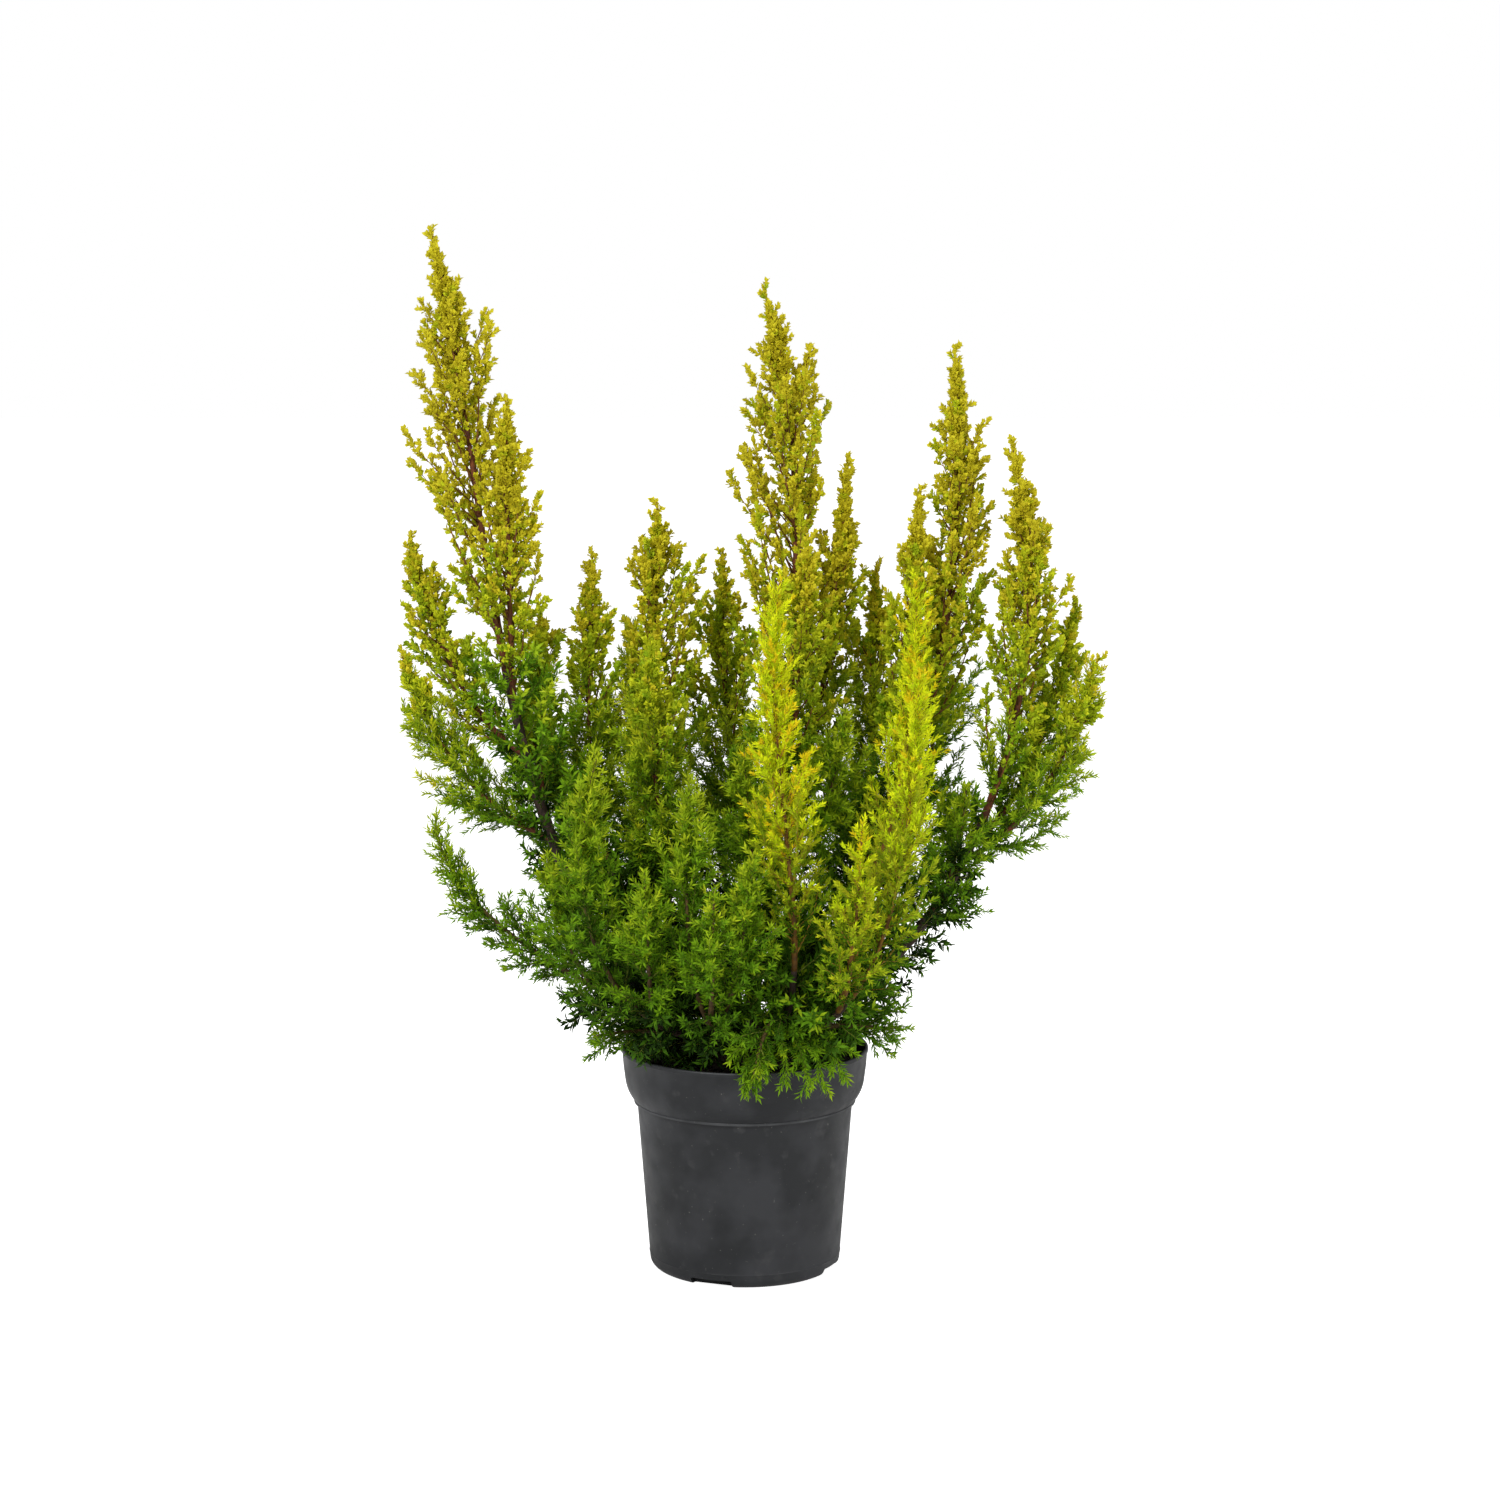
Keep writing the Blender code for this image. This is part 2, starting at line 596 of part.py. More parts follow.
def main():
    """Builds the pot, the soil, the rootstock, the boughs and the masses of foliage."""
    clear_scene()
    make_pot(material("pot plastic", (0.045, 0.047, 0.052), 0.5))
    make_soil(material("peat", (0.035, 0.022, 0.015), 0.95))
    bark = material("bark", (0.16, 0.075, 0.045), 0.85)
    make_rootstock(bark)
    tints = {
        "gold": material("gold foliage", (0.72, 0.60, 0.04), 0.6),
        "lime": material("lime foliage", (0.42, 0.50, 0.05), 0.6),
        "green": material("green foliage", (0.16, 0.34, 0.04), 0.6),
    }
    boughs, stems = {}, {}
    for limb in LIMBS:
        boughs[limb.name], stems[limb.name] = limb_axes(limb)
    for flank in FLANKS:
        stems[flank.name] = flank_axis(flank, boughs[flank.limb])
    crown = Crown(boughs.values(), stems)
    for name, axis in boughs.items():
        bm = bmesh.new()
        sleeve(bm, axis_rings(axis, BOUGH_STEP, BOUGH_SIDES))
        add_object(name + "_bough", bm, bark, BOUGH_SMOOTH_ANGLE)
    for seed, row in enumerate([*LIMBS, *FLANKS]):
        make_mass(row.name, stems[row.name], row.width * MM, crown, tints[row.tint], seed)


main()
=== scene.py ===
"""The looks of a potted tree heath: a clump of golden-green spires in a dark plastic nursery pot.

Metres, +Z up. The origin is the middle of the pot's flat underside, and the plant's face looks towards -Y.
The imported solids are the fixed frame. The foliage grows on from the same limbs by the same rule as the
solids, carried to finer twigs and to single needles.
"""

from __future__ import annotations

import logging
import math
from dataclasses import astuple, dataclass, field, fields, replace
from enum import Enum, IntEnum

import bpy
import numpy as np
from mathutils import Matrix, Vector

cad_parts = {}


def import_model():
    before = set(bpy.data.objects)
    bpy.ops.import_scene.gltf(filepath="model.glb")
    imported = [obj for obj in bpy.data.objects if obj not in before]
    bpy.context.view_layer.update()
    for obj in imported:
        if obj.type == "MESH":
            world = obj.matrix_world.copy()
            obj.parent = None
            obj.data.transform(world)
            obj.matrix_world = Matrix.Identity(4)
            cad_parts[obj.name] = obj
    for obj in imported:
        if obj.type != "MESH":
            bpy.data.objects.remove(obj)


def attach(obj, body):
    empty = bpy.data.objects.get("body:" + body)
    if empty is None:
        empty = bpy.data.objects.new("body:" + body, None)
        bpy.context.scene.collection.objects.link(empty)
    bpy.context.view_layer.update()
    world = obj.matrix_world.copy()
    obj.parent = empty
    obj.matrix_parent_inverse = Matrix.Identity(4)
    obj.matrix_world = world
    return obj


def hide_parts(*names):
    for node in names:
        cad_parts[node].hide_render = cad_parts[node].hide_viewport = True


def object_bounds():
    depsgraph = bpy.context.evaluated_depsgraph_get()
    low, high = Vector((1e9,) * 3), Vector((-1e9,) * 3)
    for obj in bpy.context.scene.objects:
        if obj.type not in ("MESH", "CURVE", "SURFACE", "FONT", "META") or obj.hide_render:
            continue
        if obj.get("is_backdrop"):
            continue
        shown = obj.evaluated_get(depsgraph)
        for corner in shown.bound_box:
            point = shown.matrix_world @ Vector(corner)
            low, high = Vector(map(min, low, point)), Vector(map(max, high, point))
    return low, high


LOG = logging.getLogger("tree_heath")

MM = 0.001
BODY = "root"
GOLDEN_ANGLE = math.pi * (3 - math.sqrt(5))
MERGE_DISTANCE = 0.01 * MM
GAP = 0.3 * MM
UP = np.array((0.0, 0.0, 1.0))
RIGHT = np.array((1.0, 0.0, 0.0))
LEVEL = np.array((1.0, 1.0, 0.0))
ON_BOUGH = -2.0

Colour = tuple[float, float, float]
Runs = tuple[np.ndarray, np.ndarray, np.ndarray]


class Slot(Enum):
    """The record's material slots."""

    POT = "pot_plastic"
    PEAT = "peat"
    BARK = "bark"
    GOLD = "foliage_gold"
    LIME = "foliage_lime"
    GREEN = "foliage_green"


class Habit(IntEnum):
    """How the needles of a shoot stand."""

    INNER = 0
    PLUME = 1
    BRIGHT = 2
    TUFT = 3


class Ramp(IntEnum):
    """The order in which a mass of foliage goes through the grades of green and gold, from shade to tip."""

    GOLD = 0
    LIME = 1
    GREEN = 2


class Grade(Enum):
    """The plain colours of the needles."""

    SHADE = (0.015, 0.042, 0.003)
    DEEP = (0.048, 0.125, 0.004)
    GREEN = (0.110, 0.250, 0.006)
    FRESH = (0.185, 0.350, 0.007)
    SPRING = (0.300, 0.440, 0.010)
    LIME = (0.430, 0.530, 0.014)
    CITRON = (0.545, 0.590, 0.014)
    BRASS = (0.630, 0.560, 0.020)
    YELLOW = (0.620, 0.760, 0.008)
    GOLD = (0.780, 0.840, 0.010)
    AMBER = (0.800, 0.640, 0.008)


GRADE_SLOTS = {
    **dict.fromkeys((Grade.SHADE, Grade.DEEP, Grade.GREEN, Grade.FRESH), Slot.GREEN),
    **dict.fromkeys((Grade.SPRING, Grade.LIME, Grade.CITRON, Grade.BRASS), Slot.LIME),
    **dict.fromkeys((Grade.YELLOW, Grade.GOLD, Grade.AMBER), Slot.GOLD),
}

RAMP_GRADES = {
    Ramp.GOLD: (Grade.DEEP, Grade.GREEN, Grade.SPRING, Grade.LIME, Grade.CITRON, Grade.YELLOW, Grade.GOLD,
                Grade.AMBER),
    Ramp.LIME: (Grade.SHADE, Grade.DEEP, Grade.GREEN, Grade.FRESH, Grade.SPRING, Grade.LIME, Grade.CITRON,
                Grade.BRASS),
    Ramp.GREEN: (Grade.SHADE, Grade.DEEP, Grade.GREEN, Grade.FRESH, Grade.SPRING, Grade.LIME),
}


@dataclass(frozen=True)
class Limb:
    """A bough that rises from the rootstock, and the spire on its tip.

    Lengths are in millimetres. foot is the azimuth and slope in degrees at which it leaves the rootstock,
    bare the share of its length that is bough, width the spire's widest half-width and thick the foot's
    radius. ripe is the share of the spire above which a gold one is fully gold.
    """

    name: str
    foot: tuple[float, float]
    knee: tuple[float, float, float]
    neck: tuple[float, float, float]
    tip: tuple[float, float, float]
    bare: float
    width: float
    thick: float
    ramp: Ramp
    ripe: float = 0.35


@dataclass(frozen=True)
class Flank:
    """A smaller spire that leaves a bough's side at a share of the limb's length. Millimetres.

    arch lifts the stem's bend, and ripe is as for a limb.
    """

    name: str
    limb: str
    at: float
    tip: tuple[float, float, float]
    width: float
    ramp: Ramp
    arch: float = 0.0
    ripe: float = 0.35


@dataclass(frozen=True)
class Sprig:
    """A low twig that leaves a bough at a share of its length and hangs over the pot's rim. Millimetres.

    mass is the mass of foliage that it belongs to.
    """

    mass: str
    limb: str
    at: float
    bend: tuple[float, float, float]
    tip: tuple[float, float, float]


GOLD, LIME, GREEN = Ramp.GOLD, Ramp.LIME, Ramp.GREEN

LIMBS = (
    Limb("left_tall", (160, 30), (-206, 5, 240), (-182, 20, 575), (-236, 20, 793), 0.50, 48, 5.6, LIME),
    Limb("left_low", (-172, 30), (-140, -35, 230), (-232, -45, 286), (-232, -40, 357), 0.36, 24, 3.4, GREEN),
    Limb("left_thin", (180, 64), (-155, 45, 260), (-118, 62, 410), (-118, 60, 546), 0.38, 32, 3.6, LIME),
    Limb("left_mid", (128, 64), (-115, 75, 260), (-60, 66, 430), (-68, 60, 586), 0.36, 54, 4.2, LIME),
    Limb("left_front", (-140, 30), (-130, -112, 205), (-130, -118, 330), (-107, -110, 412),
         0.26, 36, 3.4, GREEN),
    Limb("front_left", (-106, 30), (-48, -118, 205), (-44, -120, 300), (-40, -110, 396),
         0.25, 32, 3.2, GREEN),
    Limb("centre_tall", (75, 64), (25, 40, 300), (68, 42, 580), (14, 40, 750), 0.36, 58, 5.2, LIME),
    Limb("front_gold", (-70, 30), (80, -125, 215), (0, -112, 400), (26, -100, 540), 0.26, 34, 3.8, GOLD),
    Limb("right_tall", (15, 64), (105, 20, 235), (184, 22, 480), (158, 20, 704), 0.40, 42, 5.0, LIME),
    Limb("right_gold", (-42, 64), (105, -62, 245), (130, -62, 390), (127, -50, 536), 0.34, 32, 3.6, GOLD),
    Limb("right_near", (-38, 30), (106, -130, 205), (120, -140, 330), (126, -122, 476),
         0.27, 28, 3.4, GOLD, 0.75),
    Limb("right_wide", (2, 30), (168, -5, 234), (254, 0, 430), (200, 0, 635), 0.44, 36, 5.2, LIME),
    Limb("back_left", (122, 30), (-100, 140, 215), (-95, 155, 360), (-88, 150, 486), 0.30, 44, 3.8, GREEN),
    Limb("back_mid", (84, 30), (5, 135, 220), (-20, 138, 390), (-18, 116, 544), 0.30, 44, 4.2, LIME),
    Limb("back_right", (44, 30), (130, 112, 215), (160, 125, 360), (156, 115, 516), 0.32, 42, 4.0, GREEN),
)

FLANKS = (
    Flank("left_tall_low", "left_tall", 0.30, (-261, 2, 479), 28, LIME),
    Flank("left_tall_outer", "left_tall", 0.40, (-256, 34, 562), 30, LIME),
    Flank("left_tall_inner", "left_tall", 0.34, (-158, 56, 500), 34, LIME),
    Flank("left_tall_front", "left_tall", 0.46, (-178, -14, 668), 32, LIME),
    Flank("left_low_inner", "left_low", 0.32, (-146, -76, 332), 34, GREEN),
    Flank("left_thin_outer", "left_thin", 0.30, (-150, 30, 420), 32, GREEN),
    Flank("left_mid_inner", "left_mid", 0.26, (-71, -28, 490), 38, LIME, 6),
    Flank("left_front_inner", "left_front", 0.22, (-72, -142, 332), 32, GREEN),
    Flank("left_front_hem", "left_front", 0.16, (-112, -48, 190), 26, GREEN),
    Flank("front_left_low", "front_left", 0.22, (-22, -160, 322), 28, GREEN),
    Flank("front_middle", "front_left", 0.17, (6, -146, 346), 32, GREEN, 10),
    Flank("front_hem", "front_gold", 0.15, (6, -120, 172), 28, GREEN, 14),
    Flank("centre_near", "centre_tall", 0.28, (47, -20, 564), 38, LIME, 20),
    Flank("centre_front", "centre_tall", 0.14, (0, -62, 408), 38, GREEN),
    Flank("centre_right", "centre_tall", 0.20, (76, -66, 438), 38, GREEN),
    Flank("centre_back", "centre_tall", 0.26, (79, 46, 621), 30, LIME),
    Flank("right_tall_inner", "right_tall", 0.36, (132, 0, 600), 28, LIME, 20),
    Flank("right_tall_back", "right_tall", 0.24, (103, 84, 536), 38, LIME),
    Flank("right_near_low", "right_near", 0.23, (84, -158, 370), 28, GOLD, 0, 0.9),
    Flank("right_near_hem", "right_near", 0.16, (114, -50, 196), 24, GREEN),
    Flank("right_wide_outer", "right_wide", 0.38, (266, -14, 474), 28, LIME),
    Flank("right_wide_back", "right_wide", 0.40, (254, 34, 512), 30, LIME),
    Flank("right_wide_low", "right_wide", 0.28, (166, -46, 380), 32, GREEN),
    Flank("back_left_outer", "back_left", 0.26, (-180, 110, 438), 42, GREEN, 10),
    Flank("back_left_hem", "back_left", 0.17, (-100, 70, 206), 30, GREEN),
    Flank("back_mid_low", "back_mid", 0.24, (-30, 190, 354), 42, GREEN),
    Flank("back_right_low", "back_right", 0.26, (90, 175, 364), 42, GREEN),
)

SPRIGS = (
    Sprig("front_hem", "front_gold", 0.24, (28, -92, 216), (32, -116, 168)),
    Sprig("front_hem", "front_gold", 0.34, (44, -96, 214), (46, -118, 162)),
    Sprig("right_near_hem", "right_near", 0.26, (52, -96, 214), (58, -112, 164)),
    Sprig("right_near_hem", "right_near", 0.36, (66, -94, 212), (72, -106, 170)),
    Sprig("front_left_low", "front_left", 0.20, (2, -84, 214), (2, -112, 160)),
)


class Graph:
    """A node tree that is filled one node at a time."""

    def __init__(self, tree: bpy.types.NodeTree) -> None:
        """Takes the tree to fill."""
        self.tree = tree

    def add(self, kind: str, **inputs: object) -> bpy.types.Node:
        """Adds a node.

        Args:
            kind: The node's type.
            inputs: Socket names, with an underscore for each space, and their values or other sockets.

        Returns:
            The new node.
        """
        node = self.tree.nodes.new(kind)
        for name, value in inputs.items():
            self.feed(node, name.replace("_", " "), value)
        return node

    def feed(self, node: bpy.types.Node, name: str | int, value: object) -> None:
        """Sets one input of a node, or links it if the value is a socket.

        Args:
            node: The node to change.
            name: The input's name, or its number where names repeat.
            value: A number, a colour or another node's output.
        """
        if isinstance(value, bpy.types.NodeSocket):
            self.tree.links.new(value, node.inputs[name])
        else:
            node.inputs[name].default_value = value

    def group(self, tree: bpy.types.NodeTree, **inputs: object) -> bpy.types.NodeSocket:
        """Places a node group.

        Args:
            tree: The group's node tree.
            inputs: The group's inputs, as for add.

        Returns:
            The group's one output.
        """
        node = self.add("ShaderNodeGroup")
        node.node_tree = tree
        for name, value in inputs.items():
            self.feed(node, name, value)
        return node.outputs[0]

    def number(self, step: str, *inputs: bpy.types.NodeSocket | float) -> bpy.types.NodeSocket:
        """Works out one number from others.

        Args:
            step: The operation's name.
            inputs: The numbers, or the sockets that give them.

        Returns:
            The result's socket.
        """
        node = self.add("ShaderNodeMath")
        node.operation = step
        for place, value in enumerate(inputs):
            self.feed(node, place, value)
        return node.outputs["Value"]

    def blend(
        self, factor: bpy.types.NodeSocket, low: Colour | bpy.types.NodeSocket, high: Colour
    ) -> bpy.types.NodeSocket:
        """Mixes two colours by a mask.

        Args:
            factor: The mask's socket.
            low: The colour where the mask is 0.
            high: The colour where the mask is 1.

        Returns:
            The socket of the mixed colour.
        """
        node = self.add("ShaderNodeMixRGB", Fac=factor)
        for name, colour in (("Color1", low), ("Color2", high)):
            self.feed(node, name, colour if isinstance(colour, bpy.types.NodeSocket) else (*colour, 1))
        return node.outputs["Color"]

    def spread(self, mask: bpy.types.NodeSocket, low: object, high: object) -> bpy.types.NodeSocket:
        """Turns a mask from 0 to 1 into a value between two ends, which are numbers or sockets.

        Args:
            mask: The mask's socket.
            low: The value where the mask is 0.
            high: The value where the mask is 1.

        Returns:
            The socket of the value.
        """
        return self.add("ShaderNodeMapRange", Value=mask, To_Min=low, To_Max=high).outputs["Result"]


class Effects:
    """The shader node groups that more than one finish uses."""

    def __init__(self) -> None:
        """Builds each group once."""
        self.mottle = self._mottle()
        self.grain = self._grain()
        self.dust = self._dust()
        self.worn_edge = self._worn_edge()

    @staticmethod
    def _new(
        name: str, inputs: dict[str, float], output: str
    ) -> tuple[Graph, bpy.types.Node, bpy.types.Node]:
        """Starts a group with named number sockets.

        Args:
            name: The group's name.
            inputs: Input names and their values at first.
            output: The output's name.

        Returns:
            The group's graph, its input node and its output node.
        """
        tree = bpy.data.node_groups.new(name, "ShaderNodeTree")
        for label, value in inputs.items():
            socket = tree.interface.new_socket(name=label, in_out="INPUT", socket_type="NodeSocketFloat")
            socket.default_value = value
        tree.interface.new_socket(name=output, in_out="OUTPUT", socket_type="NodeSocketFloat")
        graph = Graph(tree)
        return graph, tree.nodes.new("NodeGroupInput"), tree.nodes.new("NodeGroupOutput")

    def _mottle(self) -> bpy.types.NodeTree:
        """Soft, cloudy patches: a mask from 0 to 1 with a chosen size and contrast.

        Returns:
            The group's node tree.
        """
        sizes = {"Scale": 10.0, "Detail": 4.0, "Low": 0.35, "High": 0.65}
        graph, entry, leave = self._new("mottle", sizes, "Mask")
        place = graph.add("ShaderNodeTexCoord").outputs["Object"]
        size, detail, low, high = (entry.outputs[label] for label in sizes)
        clouds = graph.add("ShaderNodeTexNoise", Vector=place, Scale=size, Detail=detail).outputs["Fac"]
        cut = graph.add("ShaderNodeMapRange", Value=clouds, From_Min=low, From_Max=high)
        graph.feed(leave, "Mask", cut.outputs["Result"])
        return graph.tree

    def _grain(self) -> bpy.types.NodeTree:
        """Fine relief: noise drawn out along the height, with a cell pattern over it.

        Returns:
            The group's node tree.
        """
        graph, entry, leave = self._new("grain", {"Scale": 400.0, "Stretch": 1.0, "Cells": 0.0}, "Height")
        place = graph.add("ShaderNodeTexCoord").outputs["Object"]
        stretch = graph.add("ShaderNodeCombineXYZ", X=1.0, Y=1.0, Z=entry.outputs["Stretch"])
        drawn = graph.add("ShaderNodeVectorMath")
        drawn.operation = "MULTIPLY"
        graph.feed(drawn, 0, place)
        graph.feed(drawn, 1, stretch.outputs["Vector"])
        fine = graph.add(
            "ShaderNodeTexNoise", Vector=drawn.outputs["Vector"], Scale=entry.outputs["Scale"], Detail=3.0
        )
        cells = graph.add(
            "ShaderNodeTexVoronoi", Vector=drawn.outputs["Vector"], Scale=entry.outputs["Scale"]
        )
        height = graph.spread(entry.outputs["Cells"], fine.outputs["Fac"], cells.outputs["Distance"])
        graph.feed(leave, "Height", height)
        return graph.tree

    def _dust(self) -> bpy.types.NodeTree:
        """Dust and peat specks: a mask that is denser on faces that look up.

        Returns:
            The group's node tree.
        """
        sparsest, whole = 0.8, 0.85
        graph, entry, leave = self._new("dust", {"Scale": 300.0, "Amount": 0.3, "Settled": 0.5}, "Mask")
        place = graph.add("ShaderNodeTexCoord").outputs["Object"]
        specks = graph.add("ShaderNodeTexNoise", Vector=place, Scale=entry.outputs["Scale"], Detail=2.0)
        normal = graph.add("ShaderNodeNewGeometry").outputs["Normal"]
        upward = graph.add("ShaderNodeSeparateXYZ", Vector=normal).outputs["Z"]
        settled = graph.number("MULTIPLY_ADD", upward, entry.outputs["Settled"], entry.outputs["Amount"])
        edge = graph.number("SUBTRACT", sparsest, settled)
        cut = graph.add("ShaderNodeMapRange", Value=specks.outputs["Fac"], From_Min=edge, From_Max=whole)
        graph.feed(leave, "Mask", cut.outputs["Result"])
        return graph.tree

    def _worn_edge(self) -> bpy.types.NodeTree:
        """A pale band along an edge at one height: a mask that fades over a width, with gaps along the edge.

        Returns:
            The group's node tree.
        """
        sizes = {"Height": 0.1, "Width": 2 * MM, "Amount": 0.7}
        graph, entry, leave = self._new("worn_edge", sizes, "Mask")
        place = graph.add("ShaderNodeTexCoord").outputs["Object"]
        level = graph.add("ShaderNodeSeparateXYZ", Vector=place).outputs["Z"]
        off = graph.number("ABSOLUTE", graph.number("SUBTRACT", level, entry.outputs["Height"]))
        near = graph.add("ShaderNodeMapRange", Value=off, From_Max=entry.outputs["Width"], To_Max=0.0)
        graph.feed(near, "To Min", entry.outputs["Amount"])
        rubbed = graph.add("ShaderNodeTexNoise", Vector=place, Scale=38.0, Detail=3.0).outputs["Fac"]
        patches = graph.add("ShaderNodeMapRange", Value=rubbed, From_Min=0.35, From_Max=0.6, To_Min=0.25)
        patchy = graph.number("MULTIPLY", near.outputs["Result"], patches.outputs["Result"])
        graph.feed(leave, "Mask", patchy)
        return graph.tree


def start_finish(name: str) -> tuple[bpy.types.Material, Graph, bpy.types.Node]:
    """Starts a material.

    Args:
        name: The material's name.

    Returns:
        The material, its graph and its shader.
    """
    made = bpy.data.materials.new(name)
    made.use_nodes = True
    return made, Graph(made.node_tree), made.node_tree.nodes["Principled BSDF"]


@dataclass(frozen=True)
class PotPlastic:
    """Dark charcoal nursery-pot plastic with handling smudges, fine dust and a few pale specks.

    collar_foot and rim are the heights and widths of the two pale edge bands. The band at the collar's foot
    is a painted highlight, where the moulded edge catches the light.
    """

    effects: Effects
    dark: Colour = (0.016, 0.017, 0.019)
    pale: Colour = (0.033, 0.034, 0.038)
    scuffed: Colour = (0.050, 0.050, 0.052)
    rubbed: Colour = (0.085, 0.088, 0.092)
    dust: Colour = (0.170, 0.165, 0.150)
    collar_foot: tuple[float, float] = (130.4 * MM, 1.6 * MM)
    rim: tuple[float, float] = (171.6 * MM, 1.0 * MM)

    def build(self) -> bpy.types.Material:
        """Mixes the finish from its effects.

        Returns:
            The material.
        """
        made, graph, shader = start_finish("pot_plastic")
        smudge = graph.group(self.effects.mottle, Scale=21.0, Detail=3.0, Low=0.42, High=0.60)
        wiped = graph.group(self.effects.mottle, Scale=60.0, Detail=5.0, Low=0.40, High=0.75)
        scuffs = graph.group(self.effects.mottle, Scale=75.0, Detail=8.0, Low=0.60, High=0.80)
        specks = graph.group(self.effects.dust, Scale=420.0, Amount=0.10, Settled=0.05)
        plain = graph.blend(smudge, self.dark, self.pale)
        patchy = graph.blend(scuffs, plain, self.scuffed)
        # Pale bands at the collar's foot and at the rim; the one at the collar's foot is a painted
        # highlight.
        for height, width in (self.collar_foot, self.rim):
            edge = graph.group(self.effects.worn_edge, Height=height, Width=width, Amount=0.75)
            patchy = graph.blend(edge, patchy, self.rubbed)
        graph.feed(shader, "Base Color", graph.blend(specks, patchy, self.dust))
        shader.inputs["Specular IOR Level"].default_value = 0.36
        graph.feed(shader, "Roughness", graph.spread(wiped, low=0.40, high=0.56))
        grain = graph.group(self.effects.grain, Scale=900.0, Stretch=1.0, Cells=0.0)
        bump = graph.add("ShaderNodeBump", Strength=0.12, Distance=0.2 * MM, Height=grain)
        graph.feed(shader, "Normal", bump.outputs["Normal"])
        return made


@dataclass(frozen=True)
class Peat:
    """Dark, crumbly, fibrous potting soil."""

    effects: Effects
    name: str = "peat"
    dark: Colour = (0.010, 0.007, 0.005)
    pale: Colour = (0.050, 0.032, 0.020)

    def build(self) -> bpy.types.Material:
        """Mixes the finish from its effects.

        Returns:
            The material.
        """
        made, graph, shader = start_finish(self.name)
        damp = graph.group(self.effects.mottle, Scale=150.0, Detail=6.0, Low=0.35, High=0.70)
        graph.feed(shader, "Base Color", graph.blend(damp, self.dark, self.pale))
        graph.feed(shader, "Roughness", graph.spread(damp, low=0.80, high=0.98))
        grain = graph.group(self.effects.grain, Scale=700.0, Stretch=1.0, Cells=0.6)
        bump = graph.add("ShaderNodeBump", Strength=0.6, Distance=0.6 * MM, Height=grain)
        graph.feed(shader, "Normal", bump.outputs["Normal"])
        return made


@dataclass(frozen=True)
class Bark:
    """Bark of a chosen pair of browns, ridged along its length."""

    effects: Effects
    name: str
    dark: Colour
    pale: Colour
    fleck: Colour = (0.30, 0.24, 0.18)

    def build(self) -> bpy.types.Material:
        """Mixes the finish from its effects.

        Returns:
            The material.
        """
        made, graph, shader = start_finish(self.name)
        patchy = graph.group(self.effects.mottle, Scale=220.0, Detail=5.0, Low=0.35, High=0.68)
        flecks = graph.group(self.effects.dust, Scale=900.0, Amount=0.10, Settled=0.05)
        plain = graph.blend(patchy, self.dark, self.pale)
        graph.feed(shader, "Base Color", graph.blend(flecks, plain, self.fleck))
        graph.feed(shader, "Roughness", graph.spread(patchy, low=0.65, high=0.9))
        grain = graph.group(self.effects.grain, Scale=1400.0, Stretch=0.25, Cells=0.5)
        bump = graph.add("ShaderNodeBump", Strength=0.5, Distance=0.3 * MM, Height=grain)
        graph.feed(shader, "Normal", bump.outputs["Normal"])
        return made


@dataclass(frozen=True)
class NeedleFinish:
    """Needles of one plain colour, with a faint unevenness in their waxy gloss."""

    effects: Effects
    name: str
    colour: Colour

    def build(self) -> bpy.types.Material:
        """Mixes the finish from its effects.

        Returns:
            The material.
        """
        made, graph, shader = start_finish(self.name)
        shader.inputs["Base Color"].default_value = (*self.colour, 1)
        shader.inputs["Specular IOR Level"].default_value = 0.10
        waxy = graph.group(self.effects.mottle, Scale=300.0, Detail=2.0, Low=0.3, High=0.7)
        graph.feed(shader, "Roughness", graph.spread(waxy, low=0.55, high=0.75))
        return made


